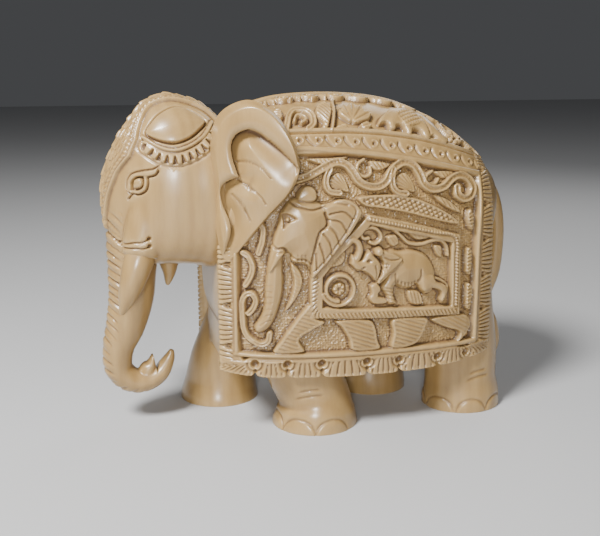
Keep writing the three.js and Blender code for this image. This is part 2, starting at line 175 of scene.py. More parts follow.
# The camera in drawn millimetres and degrees.
CAMERA_PLACE = [-127, -407, 165.6]
CAMERA_TURN = -15.3
CAMERA_PITCH = 13
CAMERA_LENS = 54.42

# The saddle cloth's edges in side view, x then z.
HEM = [[-60, 31], [-45, 29], [-28, 28], [0, 27.2], [28, 27.2], [50, 28.4], [68, 30.6]]
CLOTH_FRONT = [[-60, 20], [-60, 88], [-48, 130], [-42, 160]]
CLOTH_REAR = [[69, 20], [69, 60], [68, 100], [66, 160]]

# The ear in side view, x then z, from its upper front corner over the top.
EAR_CENTRE = [-46, 118]
EAR_OUTLINE = [
    [-62, 130], [-58.5, 143], [-48, 149], [-38.5, 145], [-31.5, 135], [-28, 122], [-31.5, 111],
    [-41, 99], [-50, 88], [-57, 80.5], [-60.5, 92], [-60.5, 111],
]
EAR_ROOT = [-62, 26]
EAR_FLARE = 0.55
EAR_THICKNESS = 6
FAR_EAR_SHIFT = [9, 8]
EAR_LOBE_SPREAD = 2.6

# The edge between the ear's front band and the folds behind it, and the creases in those folds.
EAR_LOWER_FOLD = [
    [-58.4, 83], [-55.4, 92.8], [-55.6, 98.6], [-57.8, 105], [-58.6, 110.6], [-56.8, 114.4],
    [-51.6, 117.2],
]
EAR_UPPER_FOLD = [
    [-51.6, 117.2], [-53.8, 124.6], [-54.2, 130.8], [-52, 135], [-47.8, 136.8], [-44.2, 135.8],
    [-38.8, 131.8], [-33.6, 126.6], [-30, 122.6],
]
EAR_BEHIND = [[-15, 110], [-15, 75], [-50, 66]]
EAR_CREASES = [
    [[-51.4, 123.2], [-47.4, 123.6], [-43.4, 121.4], [-39.6, 117]],
    [[-51.4, 115.8], [-47, 112.6], [-43.6, 109.4], [-41.6, 106.2]],
    [[-54, 109.4], [-52, 107.2], [-50, 104.4], [-47.6, 98.8]],
]

# The headdress in side view: an almond boss and a toothed band below it.
ALMOND = [
    [-88, 134.5], [-85, 139.5], [-81, 143], [-75, 145.3], [-68.5, 144], [-62.3, 139.4], [-66, 135.4],
    [-71, 132.3], [-77, 130.8], [-83, 131.8],
]
TOOTHED_BAND = [
    [-88.6, 132.4], [-83, 129], [-76.7, 127.6], [-70, 129], [-64.4, 132.3], [-58.4, 139], [-58, 136.4],
    [-63.3, 129.4], [-69.6, 125.6], [-76.6, 123.8], [-83.6, 125.2], [-89, 128.8],
]
BAND_RIDGE = [[-89, 133], [-83, 129.2], [-76.8, 127.9], [-70.4, 129.5], [-64.4, 133], [-59.8, 138.6]]
TOOTH_LINE = [
    [-88.8, 129], [-83.4, 125.4], [-76.6, 124], [-69.6, 125.8], [-63.2, 129.8], [-58.2, 136.4],
]
TEETH = 11
WRINKLE_PITCH = 3.7

# Half of the band down the forehead, seen from the front: y then z.
FOREHEAD_EDGE = [
    [4, 90], [8.6, 107], [12, 118], [15.5, 125], [15.5, 132], [12, 141], [9.5, 146], [9, 160],
]

# More forms of the head: cheek, trunk finger, the notch of the mouth, and the lines round eye and mouth.
CHEEK = [
    [-84, -12.4, 114, 8, 9, 9],
    [-87, -13.4, 103, 9, 9.8, 9.4],
    [-90, -14.6, 91, 8.8, 9.6, 9.0],
    [-91.8, -16, 81.2, 7.9, 9.4, 8.8],
]
FINGER = [
    [-90.6, 0, 19, 5.2, 6.0, 6.0],
    [-89.3, 0, 24.4, 4.6, 4.2, 4.2],
    [-88.0, 0, 26.6, 4.2, 2.6, 2.6],
    [-87.2, 0, 28.8, 3.6, 1.6, 1.6],
    [-86.7, 0, 31.2, 2.6, 0.9, 0.9],
]
MOUTH_NOTCH = [[-87.8, 37], [-80.2, 37], [-85.3, 23.4]]
BROW = [
    [-96.6, 110.6], [-96.3, 113.6], [-96.0, 115.4], [-94.1, 117.9], [-90.2, 119.2], [-86.0, 120.1],
    [-84.0, 121.1], [-84.3, 119.0], [-85.6, 117.8], [-88.6, 117.0], [-91.9, 116.8], [-93.4, 115.9],
    [-94.5, 114.4], [-94.7, 112.4], [-95.2, 110.0],
]
BROW_LOWER = [
    [-84.0, 119.4], [-85.4, 117.7], [-88.6, 116.9], [-91.9, 116.6], [-93.3, 115.6], [-94.5, 114.2],
    [-94.5, 111], [-94.9, 109.2], [-96.4, 107.0],
]
EYE_SOCKET = [[-95.2, 116.6], [-91, 118], [-87.4, 116.8], [-87.6, 112], [-90, 108.4], [-94.6, 108.6]]
BROW_UPPER = [
    [-96.7, 111.6], [-96.6, 114.2], [-95.5, 116.9], [-94.2, 118.2], [-90.2, 119.6], [-86, 120.4],
    [-83.6, 121.8],
]
EYELID = [
    [-94.4, 109.6], [-92.4, 109.3], [-90.6, 110.0], [-89.2, 111.2], [-88.6, 112.8], [-88.3, 114.4],
    [-88.4, 116.4],
]
EYEBALL = [
    [-94.0, 112.0], [-92.3, 111.8], [-90.9, 112.4], [-90.2, 113.6], [-90.2, 115.2], [-91.0, 116.4],
    [-92.6, 116.2], [-93.8, 114.9],
]
MOUTH_LINES = [
    [[-101, 87.6], [-98.2, 88.2], [-95.1, 88.9], [-91.6, 89.1], [-88.8, 90.3]],
    [[-99.6, 86.2], [-97.2, 86.4], [-94.5, 86.5], [-91, 86.3], [-88.6, 87.0]],
]


def bump(value, width):
    """A smooth rise: 1 where the value is 0, and nearly nothing from two widths away."""
    return np.exp(-((value / width) ** 2))


def bowl(distance, radius):
    """The section of a round hollow: 1 in its middle, 0 from its rim outwards."""
    return np.sqrt(np.clip(1 - (distance / radius) ** 2, 0, 1))


def smooth_path(points, steps=8, closed=False):
    """A smooth curve through given points, as an array of places along it."""
    spots = np.array(points, dtype=float)
    if closed:
        spots = np.vstack([spots[-1:], spots, spots[:2]])
    else:
        spots = np.vstack([spots[:1], spots, spots[-1:]])
    before, start, end, after = spots[:-3], spots[1:-2], spots[2:-1], spots[3:]
    share = (np.arange(steps) / steps)[None, :, None]
    first = (end - before)[:, None, :] / 2
    second = (after - start)[:, None, :] / 2
    curve = (
        start[:, None, :] * (2 * share**3 - 3 * share**2 + 1)
        + first * (share**3 - 2 * share**2 + share)
        + end[:, None, :] * (3 * share**2 - 2 * share**3)
        + second * (share**3 - share**2)
    ).reshape(-1, spots.shape[1])
    if closed:
        return curve
    return np.vstack([curve, spots[-1:]])


def station_at(stations, share):
    """The section a share of the way along a form, for an array of shares."""
    table = np.array(stations, dtype=float)
    last = len(table) - 1
    along = np.clip(share, 0, 1) * last
    i = np.minimum(along.astype(int), last - 1)
    s = (along - i)[:, None]
    before = table[np.maximum(i - 1, 0)]
    start = table[i]
    end = table[i + 1]
    after = table[np.minimum(i + 2, last)]
    return (
        start * (2 * s**3 - 3 * s**2 + 1)
        + (end - before) / 2 * (s**3 - 2 * s**2 + s)
        + end * (3 * s**2 - 2 * s**3)
        + (after - start) / 2 * (s**3 - s**2)
    )


def signed_power(value, power):
    return np.sign(value) * np.abs(value) ** power


def smoothstep(value):
    t = np.clip(value, 0, 1)
    return t * t * (3 - 2 * t)


def wrap_round(stations, ball, square=2, square_below=None, blunt=5, blunt_start=None, grow=0.0, drop=0.0):
    """Moves the points of a unit ball onto a form's sections, and returns them in millimetres."""
    square_below = square_below or square
    blunt_start = blunt_start or blunt
    cosine = np.clip(ball[:, 2], -1, 1)
    turn = np.arctan2(ball[:, 1], ball[:, 0])
    share = (1 - cosine) / 2
    middle = station_at(stations, share)
    ahead = station_at(stations, share + 0.01)[:, :3] - station_at(stations, share - 0.01)[:, :3]
    tangent = ahead / np.linalg.norm(ahead, axis=1)[:, None]
    sideways = np.array([0.0, 1.0, 0.0]) - tangent * tangent[:, 1:2]
    sideways /= np.linalg.norm(sideways, axis=1)[:, None]
    upright = np.cross(tangent, sideways)
    turned = (np.abs(tangent[:, 0]) > 0.7) & (upright[:, 2] < 0)
    upright[turned] *= -1
    roundness = np.where(share < 0.5, blunt_start, blunt)
    cap = (1 - np.abs(cosine) ** roundness) ** (1 / roundness)
    power = 2 / np.where(np.cos(turn) > 0, square, square_below)
    up = signed_power(np.cos(turn), power)
    side = signed_power(np.sin(turn), power)
    half = np.where(up > 0, middle[:, 4], middle[:, 5] + drop)
    return (
        middle[:, :3]
        - tangent * (grow * cosine)[:, None]
        + sideways * (side * cap * (middle[:, 3] + grow))[:, None]
        + upright * (up * cap * (half + grow))[:, None]
    )


def select_only(*pieces):
    bpy.ops.object.select_all(action="DESELECT")
    for piece in pieces:
        piece.select_set(True)
    bpy.context.view_layer.objects.active = pieces[0]


def read_points(piece):
    flat = np.empty(len(piece.data.vertices) * 3)
    piece.data.vertices.foreach_get("co", flat)
    return flat.reshape(-1, 3)


def write_points(piece, points):
    piece.data.vertices.foreach_set("co", np.ascontiguousarray(points).ravel())
    piece.data.update()


def read_normals(piece):
    flat = np.empty(len(piece.data.vertices) * 3)
    piece.data.vertices.foreach_get("normal", flat)
    return flat.reshape(-1, 3)


def to_frame(points):
    """Drawn millimetres to metres in the frame."""
    return (points + np.array([FRAME_SHIFT, 0, 0])) * MM


def to_drawing(points):
    """Metres in the frame to drawn millimetres."""
    return points / MM - np.array([FRAME_SHIFT, 0, 0])


def add_form(name, stations, around=96, along=96, side=1, **shape):
    """A closed form made from a ball whose rings are moved onto its sections."""
    bpy.ops.object.select_all(action="DESELECT")
    bpy.ops.mesh.primitive_uv_sphere_add(segments=around, ring_count=along, radius=1)
    piece = bpy.context.object
    piece.name = name
    points = wrap_round(stations, read_points(piece), **shape)
    points[:, 1] *= side
    write_points(piece, to_frame(points))
    make_outward(piece)
    return piece


def make_outward(piece):
    select_only(piece)
    bpy.ops.object.mode_set(mode="EDIT")
    bpy.ops.mesh.select_all(action="SELECT")
    bpy.ops.mesh.normals_make_consistent(inside=False)
    bpy.ops.object.mode_set(mode="OBJECT")


def apply_modifier(piece, kind, **settings):
    select_only(piece)
    modifier = piece.modifiers.new(kind.title(), kind)
    for key, value in settings.items():
        setattr(modifier, key, value)
    bpy.ops.object.modifier_apply(modifier=modifier.name)


def fuse(pieces, name, voxel, rounds=2):
    """Joins closed forms and remeshes them into one skin, with their creases softened."""
    select_only(*pieces)
    bpy.ops.object.join()
    piece = bpy.context.object
    piece.name = name
    piece.data.name = name
    apply_modifier(piece, "REMESH", mode="VOXEL", voxel_size=voxel * MM)
    if rounds:
        apply_modifier(piece, "SMOOTH", factor=0.5, iterations=rounds)
    return piece


def thin_out(piece, triangles):
    """Brings a piece under a number of triangles, keeping them where the carving needs them."""
    piece.data.calc_loop_triangles()
    count = len(piece.data.loop_triangles)
    if count > triangles:
        apply_modifier(piece, "DECIMATE", ratio=triangles / count)


def cut_at_floor(piece, height=0.0):
    """Cuts away what lies below a height in millimetres, and closes the cut."""
    select_only(piece)
    bpy.ops.object.mode_set(mode="EDIT")
    bpy.ops.mesh.select_all(action="SELECT")
    bpy.ops.mesh.bisect(plane_co=(0, 0, height * MM), plane_no=(0, 0, 1), use_fill=True, clear_inner=True)
    bpy.ops.object.mode_set(mode="OBJECT")


def mark_recesses(piece, rounds=14, reach=0.45):
    """Stores how deep each point lies between its neighbours, for the darker stain and the painted shade in
    the cuts.
    """
    mesh = piece.data
    count = len(mesh.vertices)
    edges = np.empty(len(mesh.edges) * 2, dtype=np.int32)
    mesh.edges.foreach_get("vertices", edges)
    one, other = edges.reshape(-1, 2).T
    valence = np.bincount(one, minlength=count) + np.bincount(other, minlength=count)
    valence = np.maximum(valence, 1)
    points = read_points(piece)
    normals = read_normals(piece)
    blurred = points.copy()
    total = np.zeros(count)
    for number in range(rounds):
        for axis in range(3):
            column = blurred[:, axis]
            pulled = np.bincount(one, weights=column[other], minlength=count)
            pulled += np.bincount(other, weights=column[one], minlength=count)
            blurred[:, axis] = (column + pulled / valence) / 2
        if number in (3, rounds - 1):
            total += ((blurred - points) * normals).sum(axis=1) / MM
    total = total / reach
    for _ in range(2):
        pulled = np.bincount(one, weights=total[other], minlength=count)
        pulled += np.bincount(other, weights=total[one], minlength=count)
        total = (total + pulled / valence) / 2
    name_attribute(piece, "recess_stain_and_shade", np.clip(total, 0, 1))
    name_attribute(piece, "crest", np.clip(-total, 0, 1))


def name_attribute(piece, name, values):
    attribute = piece.data.attributes.new(name, "FLOAT", "POINT")
    attribute.data.foreach_set("value", np.ascontiguousarray(values, dtype=np.float32))


def finish_piece(piece):
    """Gives a finished piece its shading, wood and place in the frame."""
    select_only(piece)
    bpy.ops.object.shade_smooth()
    piece.data.materials.clear()
    piece.data.materials.append(the_wood())
    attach(piece, "root")
    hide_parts("elephant")


class Relief:
    """Places over a surface, and how far the carving stands out at each of them."""

    def __init__(self, across, up):
        self.across = across.ravel()
        self.up = up.ravel()
        self.height = np.zeros(self.across.size)

    def near(self, points, reach):
        low = points.min(axis=0) - reach
        high = points.max(axis=0) + reach
        return np.flatnonzero(
            (self.across > low[0]) & (self.across < high[0]) & (self.up > low[1]) & (self.up < high[1])
        )

    def line(self, path, reach):
        """The places near a path, with their distance from it, side of it and way along it."""
        at = self.near(path, reach)
        start = path[:-1]
        step = path[1:] - start
        length = np.maximum(np.hypot(step[:, 0], step[:, 1]), 1e-9)
        off_x = self.across[at][:, None] - start[:, 0]
        off_z = self.up[at][:, None] - start[:, 1]
        share = np.clip((off_x * step[:, 0] + off_z * step[:, 1]) / length**2, 0, 1)
        gap_x = off_x - share * step[:, 0]
        gap_z = off_z - share * step[:, 1]
        distance = np.hypot(gap_x, gap_z)
        nearest = distance.argmin(axis=1)
        rows = np.arange(at.size)
        travelled = np.concatenate([[0], np.cumsum(length)])
        along = travelled[nearest] + share[rows, nearest] * length[nearest]
        turn = step[nearest, 0] * gap_z[rows, nearest] - step[nearest, 1] * gap_x[rows, nearest]
        away = distance[rows, nearest]
        return at, away, np.sign(turn) * away, along, travelled[-1]

    def inside(self, outline, reach=1.5):
        """The places near a closed outline, with their depth inside it (negative outside)."""
        ring = np.vstack([outline, outline[:1]])
        at, away, _, _, _ = self.line(ring, reach)
        x = self.across[at][:, None]
        z = self.up[at][:, None]
        x0, z0 = ring[:-1, 0], ring[:-1, 1]
        x1, z1 = ring[1:, 0], ring[1:, 1]
        spans = (z0 > z) != (z1 > z)
        rise = np.where(z1 == z0, 1e-9, z1 - z0)
        crossing = x0 + (z - z0) * (x1 - x0) / rise
        within = (spans & (x < crossing)).sum(axis=1) % 2 == 1
        return at, np.where(within, away, -away)

    def add_stem(self, path, width, height, hollow=0.0, taper=0.0):
        """A raised stem with rounded shoulders, hollowed along its middle where asked."""
        at, away, _, along, total = self.line(path, width / 2 + 1)
        half = width / 2 * (1 - taper * along / total)
        t = away / np.maximum(half, 0.05)
        crest = height * np.sqrt(np.clip(1 - t**3, 0, 1))
        crest -= hollow * bump(t, 0.4)
        inside = t < 1
        self.height[at[inside]] = np.maximum(self.height[at[inside]], crest[inside])
        rim = (t >= 1) & (away < half + 0.7)
        share = 1 - (away[rim] - half[rim]) / 0.7
        self.height[at[rim]] -= 0.35 * share * (self.height[at[rim]] < 0.4)

    def add_form(self, outline, height, shoulder=0.7, dome=0.0, reach=3.0, foot=0.35):
        """A raised form with a steep edge and a rounded top."""
        at, depth = self.inside(outline)
        level = height * smoothstep(depth / shoulder)
        level += dome * (1 - np.exp(-np.clip(depth, 0, None) / reach))
        inside = depth > 0
        self.height[at[inside]] = np.maximum(self.height[at[inside]], level[inside])
        rim = (depth <= 0) & (depth > -0.7)
        self.height[at[rim]] -= foot * (1 + depth[rim] / 0.7) * (self.height[at[rim]] < 0.4)

    def cut_line(self, path, width, depth, taper=0.0):
        """A groove along a path, deepest in its middle."""
        at, away, _, along, total = self.line(path, width / 2 + 0.2)
        half = width / 2 * (1 - taper * along / max(total, 1e-6))
        t = np.clip(away / np.maximum(half, 0.05), 0, 1)
        self.height[at] -= depth * (1 - t) * (1 + t)

    def cut_form(self, outline, depth, shoulder=0.7):
        at, inner = self.inside(outline)
        self.height[at] -= depth * smoothstep(inner / shoulder)

    def texture(self, outline, pattern, margin=0.5):
        """Adds a pattern, a function of place, inside an outline."""
        at, depth = self.inside(outline)
        share = smoothstep((depth - margin) / 0.6)
        self.height[at] += share * pattern(self.across[at], self.up[at])

    def add_cut_form(self, outline, form, pattern, margin):
        """A raised form, given as for add_form, with a pattern cut into its top."""
        self.add_form(outline, *form)
        self.texture(outline, pattern, margin)


def stripes(angle, pitch, depth, sharp=1.0):
    """Parallel cuts at an angle in degrees."""
    c = math.cos(math.radians(angle))
    s = math.sin(math.radians(angle))

    def pattern(x, z):
        phase = (x * c + z * s) / pitch
        return -depth * (0.5 + 0.5 * np.cos(2 * math.pi * phase)) ** sharp

    return pattern


def crossed(one, other, pitch, depth):
    first = stripes(one, pitch, depth, 2)
    second = stripes(other, pitch, depth, 2)
    return lambda x, z: np.minimum(first(x, z), second(x, z))


def fan(centre, count, depth, sharp=0.7):
    """Flutes spreading from a centre, count of them to a full turn."""

    def pattern(x, z):
        angle = np.arctan2(z - centre[1], x - centre[0])
        return -depth * (0.5 + 0.5 * np.cos(angle * count)) ** sharp

    return pattern


def dimples(pitch, depth, seed):
    """A ground punched all over with small round dimples."""

    def pattern(x, z):
        column = np.floor(x / pitch).astype(int)
        row = np.floor(z / pitch).astype(int)
        nearest = np.full(x.shape, 9.0)
        for i in (-1, 0, 1):
            for j in (-1, 0, 1):
                a = column + i
                b = row + j
                jitter = np.sin(a * 127.1 + b * 311.7 + seed) * 43758.5453
                other = np.sin(a * 269.5 + b * 183.3 + seed) * 24634.6345
                px = (a + 0.5 + 0.55 * (jitter - np.floor(jitter) - 0.5)) * pitch
                pz = (b + 0.5 + 0.55 * (other - np.floor(other) - 0.5)) * pitch
                nearest = np.minimum(nearest, np.hypot(x - px, z - pz))
        return -depth * np.clip(1 - (nearest / (0.6 * pitch)) ** 2, 0, 1)

    return pattern


def barrel_at(x):
    """The barrel's reach across, upwards and downwards at a place along it."""
    share = np.linspace(0, 1, 1500)
    table = station_at(BARREL, share)
    cosine = 1 - 2 * share
    roundness = np.where(share < 0.5, BARREL_SHAPE["blunt_start"], BARREL_SHAPE["blunt"])
    cap = (1 - np.abs(cosine) ** roundness) ** (1 / roundness)
    face = table[:, 0] - CLOTH_FACE * cosine
    return [np.interp(x, face, column) for column in (table[:, 3], table[:, 4], table[:, 5], cap)]


class ClothSkin:
    """The cloth's ground: for places along x, its section from the hem over the side to the spine.

    The way up a section is measured along it from the waist, upwards positive.
    """

    def __init__(self):
        self.x = np.linspace(-64, 72, 273)
        across, rise, fall, cap = barrel_at(self.x)
        turn = np.linspace(math.pi / 2, 0, 160)
        side = signed_power(np.sin(turn), 2 / BARREL_SHAPE["square"])
        up = signed_power(np.cos(turn), 2 / BARREL_SHAPE["square"])
        self.low = np.linspace(-66, 0, 67)[None, :]
        square = BARREL_SHAPE["square_below"]
        deep = (np.abs(self.low) / (cap * (fall + HANG + CLOTH_FACE))[:, None]) ** square
        low_y = (cap * (across + CLOTH_FACE))[:, None] * (1 - deep) ** (1 / square)
        high_y = (cap * (across + CLOTH_FACE))[:, None] * side
        high_z = (cap * (rise + CLOTH_FACE))[:, None] * up
        self.y = np.hstack([low_y, high_y[:, 1:]])
        self.z = np.hstack([np.broadcast_to(self.low, low_y.shape), high_z[:, 1:]]) + WAIST
        step = np.hypot(np.diff(self.y, axis=1), np.diff(self.z, axis=1))
        self.way = np.hstack([np.zeros((self.x.size, 1)), np.cumsum(step, axis=1)])
        self.way -= self.way[:, 66:67]
        self.top = self.way[:, -1]

    def sample(self, x, way):
        """Points of the ground at places along x and ways up the section."""
        spot = np.clip((x - self.x[0]) / (self.x[1] - self.x[0]), 0, self.x.size - 1.001)
        i = spot.astype(int)
        share = spot - i
        y = np.empty(x.shape)
        z = np.empty(x.shape)
        for column in np.unique(i):
            here = i == column
            y0 = np.interp(way[here], self.way[column], self.y[column])
            y1 = np.interp(way[here], self.way[column + 1], self.y[column + 1])
            z0 = np.interp(way[here], self.way[column], self.z[column])
            z1 = np.interp(way[here], self.way[column + 1], self.z[column + 1])
            y[here] = y0 * (1 - share[here]) + y1 * share[here]
            z[here] = z0 * (1 - share[here]) + z1 * share[here]
        return y, z

    def lay(self, points):
        """Given points, x then z in side view, as x and way up the section."""
        points = np.array(points, dtype=float)
        ways = []
        for x, z in points:
            column = int(np.clip(round((x - self.x[0]) / (self.x[1] - self.x[0])), 0, self.x.size - 1))
            ways.append(np.interp(z, self.z[column], self.way[column]))
        return np.column_stack([points[:, 0], ways])

    def path(self, points, steps=8, closed=False):
        return smooth_path(self.lay(points), steps, closed)

    def outline(self, points, steps=6):
        return self.path(points, steps, True)


SKIN = ClothSkin()


def front_edge(z):
    return np.interp(z, [p[1] for p in CLOTH_FRONT], [p[0] for p in CLOTH_FRONT])


def rear_edge(z):
    return np.interp(z, [p[1] for p in CLOTH_REAR], [p[0] for p in CLOTH_REAR])


def add_sheet(name, columns, rows, place):
    """A thick carved sheet on a grid. place turns shares across and up into points and ways inwards."""
    bpy.ops.object.select_all(action="DESELECT")
    bpy.ops.mesh.primitive_grid_add(x_subdivisions=columns, y_subdivisions=rows, size=2)
    piece = bpy.context.object
    piece.name = name
    piece.data.name = name
    flat = read_points(piece)
    points, inward = place((flat[:, 0] + 1) / 2, (flat[:, 1] + 1) / 2)
    write_points(piece, to_frame(points))
    select_only(piece)
    bpy.ops.object.mode_set(mode="EDIT")
    bpy.ops.mesh.select_all(action="SELECT")
    bpy.ops.mesh.region_to_loop()
    bpy.ops.mesh.extrude_edges_move()
    bpy.ops.object.mode_set(mode="OBJECT")
    size = len(flat)
    total = read_points(piece)
    border = np.arange(size, len(total))
    top = to_drawing(total[border])
    rim = np.flatnonzero(np.abs(flat[:, :2]).max(axis=1) > 0.99999)
    gaps = np.abs(top[:, None, :] - points[None, rim, :]).sum(axis=2)
    match = rim[gaps.argmin(axis=1)]
    total[border] = to_frame(points[match] + inward[match] * SHEET_THICKNESS)
    write_points(piece, total)
    select_only(piece)
    bpy.ops.object.mode_set(mode="EDIT")
    bpy.ops.mesh.select_all(action="DESELECT")
    bpy.ops.object.mode_set(mode="OBJECT")
    chosen = np.zeros(len(total), dtype=bool)
    chosen[border] = True
    piece.data.vertices.foreach_set("select", chosen)
    ends = np.empty(len(piece.data.edges) * 2, dtype=np.int32)
    piece.data.edges.foreach_get("vertices", ends)
    piece.data.edges.foreach_set("select", chosen[ends.reshape(-1, 2)].all(axis=1))
    bpy.ops.object.mode_set(mode="EDIT")
    bpy.ops.mesh.edge_face_add()
    bpy.ops.mesh.select_all(action="SELECT")
    bpy.ops.mesh.normals_make_consistent(inside=False)
    bpy.ops.object.mode_set(mode="OBJECT")
    return piece


# The carving of the saddle cloth, x then z in side view. The runner's rings and beads are x, then the way
# up from the spine. The last number of each runner leaf is the angle of its cuts.
FIELD = [
    [-52.4, 39.6], [-44, 38.6], [-18, 38.2], [12, 37.8], [40, 37.6], [58.6, 37.8], [58.6, 84],
    [60.2, 110], [59, 114.4], [46, 117.6], [33, 120.6], [19, 123.4], [-4, 125.8], [-25, 126.4],
    [-50, 125], [-54, 108], [-52.6, 86],
]
RIDGE = [
    [-50, 126.6], [-26, 128.2], [-10, 127.2], [6, 125.6], [22.6, 123], [38, 120], [52, 116.6],
    [60, 114.6],
]
BAND_MIDDLE = [
    [-50, 130], [-26, 131.3], [-10, 131], [6, 129.8], [22, 127.4], [38, 124.4], [52, 120.8],
    [62, 117.6],
]
BAND_TOP = [
    [-50, 132], [-40, 133.4], [-25, 134.3], [-3, 134.4], [13, 133.2], [28, 131], [41, 128], [53, 124.4],
    [70, 118],
]
VINE_STEM = [
    [-30, 115], [-24, 116.5], [-20, 118], [-15, 120.5], [-10, 122.4], [-5.5, 121.4], [-2.5, 118],
    [-0.2, 114.4], [3.6, 112.2], [8.6, 111.8], [12.4, 114], [15.4, 118.6], [20.6, 121.4], [25.6, 120.2],
    [28.4, 116.4], [30.4, 112], [34.4, 109.6], [40, 110.2], [44.2, 113.2], [48.4, 114.6], [53, 113.4],
    [56, 109.4], [54.6, 105.6], [51, 104.4], [47.4, 106.4], [47, 109.6],
]
VINE_LOOPS = [
    [[-9, 109.6], [-12.8, 110.2], [-14.6, 112.6], [-14.4, 116.4], [-12.6, 119.6]],
    [[21.6, 108.2], [17.6, 109], [15.4, 111.4], [15, 115], [16, 118.8]],
]
VINE_CURLS = [
    [[2.8, 123.4], [-0.2, 121.4], [-0.4, 118.2], [2.4, 116.2], [5.2, 117.4], [5.2, 120]],
    [[34.8, 117.2], [31.8, 115.4], [31.8, 112.6], [35.6, 111.8], [37.6, 113.8]],
]
VINE_LEAVES = [
    [[5.6, 123], [15, 121.2], [10.6, 118.6], [6.4, 119.4]],
    [[36.2, 117.2], [46.6, 116.6], [41, 113.8]],
    [[-22.4, 124.2], [-13, 124.6], [-3.8, 124.8], [-13, 121.2]],
    [[34.8, 107], [38.6, 106.4], [44.4, 103.4], [50, 98], [44.8, 99.4], [39.4, 102.4]],
]
HEART_LEAVES = [
    [[-13.4, 112.4], [-12.4, 116.8], [-8.6, 118.2], [-6, 115.4], [-4.6, 110], [-8.6, 110.6]],
    [[16.6, 111.2], [17.6, 116], [21.8, 117.4], [24.6, 114.2], [26.2, 108.8], [21.6, 109.4]],
]
PANEL = [
    [-22.2, 74.8], [-22.2, 54.6], [-5.2, 53.4], [15.4, 52.4], [37.6, 51.4], [50.2, 50.6], [49.8, 69.6],
    [49, 88.4], [36, 92.2], [21.4, 96], [3.8, 100.2],
]
PANEL_FIELD = [
    [-16.8, 73.2], [-16.8, 59.2], [-0.8, 57.4], [21.4, 56.4], [45.6, 55], [45.2, 69.8], [44.6, 85.2],
    [31.6, 89], [18.8, 92], [4.4, 95.8], [0, 91], [-9, 83],
]
PANEL_ROPE = [[-19.6, 73], [-19.6, 57], [-5.2, 55.4], [15.4, 54.4], [37.8, 53.2], [47.4, 52.8]]
PANEL_BEADS = [[3.6, 98], [14.4, 95.6], [25, 93], [36, 90.4], [46, 87.6], [47.2, 76], [47.6, 56]]
CANOPY = [
    [-1, 107.4], [5, 108.4], [12, 108.4], [18.8, 107.8], [27.2, 105.8], [36.6, 101.8], [44.6, 97.2],
    [48.6, 93], [40, 94.4], [31.6, 96.8], [20.8, 99.8], [10.4, 102], [1.8, 103.6],
]
BIG_HEAD = [
    [-28.6, 108.4], [-32.4, 105.6], [-34.8, 101.6], [-35.8, 97.4], [-37.6, 92], [-39.2, 86],
    [-40.4, 80], [-41.2, 74], [-41.8, 68], [-42, 62], [-43.6, 56.6], [-46.4, 52], [-45, 48.6],
    [-40, 50.6], [-36.6, 56.8], [-34.2, 64.8], [-33.4, 71.4], [-33.6, 78], [-33.4, 83], [-31, 83.6],
    [-29.6, 80], [-24, 78.6], [-21.8, 75], [-19, 75.6], [-15.6, 82], [-14, 92], [-13.6, 102],
    [-17, 105.6], [-22, 108],
]
BIG_EAR = [
    [-21.6, 72.8], [-15.6, 78.2], [-10, 85], [-4, 92.6], [0, 99], [0.8, 101.4], [-1.6, 104.8],
    [-5.2, 106.8], [-9.4, 107.2], [-13.8, 105.8], [-17.6, 104.8], [-16, 101], [-14.8, 97.6],
    [-16.4, 95.4], [-18.6, 93.4], [-20.4, 87.4], [-21.8, 80.6],
]
BIG_VEINS = [
    [[-14, 100.8], [-8, 101.6], [-3.6, 98.2]],
    [[-14.2, 98.4], [-9.2, 97.2], [-6.2, 92.6]],
    [[-15, 96], [-11.4, 92.6], [-9.4, 87.2]],
    [[-16.8, 92.6], [-13.8, 88.4], [-12.8, 83]],
    [[-18.4, 88.4], [-16.8, 84], [-16, 79.6]],
    [[-20, 84], [-19.6, 80.4], [-19.4, 77]],
]
BIG_EAR_RIM = [
    [-15.4, 105.6], [-10.6, 106.2], [-5.4, 105], [-2.4, 101.6], [-6, 94.4], [-11.6, 86.6],
    [-16.6, 80.2], [-20.8, 76],
]
BIG_EAR_FOLD = [
    [-21.8, 74.6], [-21.6, 80.4], [-20.2, 87.2], [-18.2, 93.4], [-15.6, 95.2], [-14.8, 97.6],
    [-16, 101.4],
]
BIG_CAP = [[-32.6, 108.4], [-28.4, 104.8], [-22.4, 102.8], [-18, 103.4], [-12, 105.4], [-6, 104.4]]
BIG_MOUTH = [[-38.6, 88.6], [-36.6, 86.6], [-33.8, 86.8], [-32, 84.6], [-31.2, 80.6]]
BIG_CHEEK = [[-31, 83.4], [-28, 81.6], [-24.6, 81.4], [-22, 79.4]]
BIG_DOME = [
    [-28, 107.4], [-27, 111], [-24.4, 113.4], [-21.4, 113.2], [-19, 111], [-18.8, 107.4],
    [-21.2, 105.6], [-25.4, 105.8],
]
BIG_TUSK = [[-37.2, 85], [-39, 80.8], [-40.6, 75], [-39, 76], [-36, 79.8], [-34, 83], [-32.6, 85]]
BIG_LEGS = [
    [
        [-22, 61.4], [-26, 57.6], [-30.6, 51.6], [-35, 45.4], [-38, 39.4], [-24.6, 39.4], [-26.4, 45.2],
        [-21, 49], [-15, 52.6], [-20, 55.6],
    ],
    [[-10.4, 53.4], [5.6, 52.6], [9.4, 43], [9.9, 38.4], [-2.4, 38.6], [-4.6, 44], [-7.8, 49.4]],
    [[16.4, 52.4], [32.2, 51.6], [33, 47.4], [27.8, 39.2], [16, 38.2], [16.2, 45.4]],
]
ACANTHUS = [
    [-30, 79.8], [-26.2, 76], [-25.2, 70.6], [-28, 63.8], [-33, 58], [-30.6, 64.8], [-29.2, 71.6],
    [-30.4, 77],
]
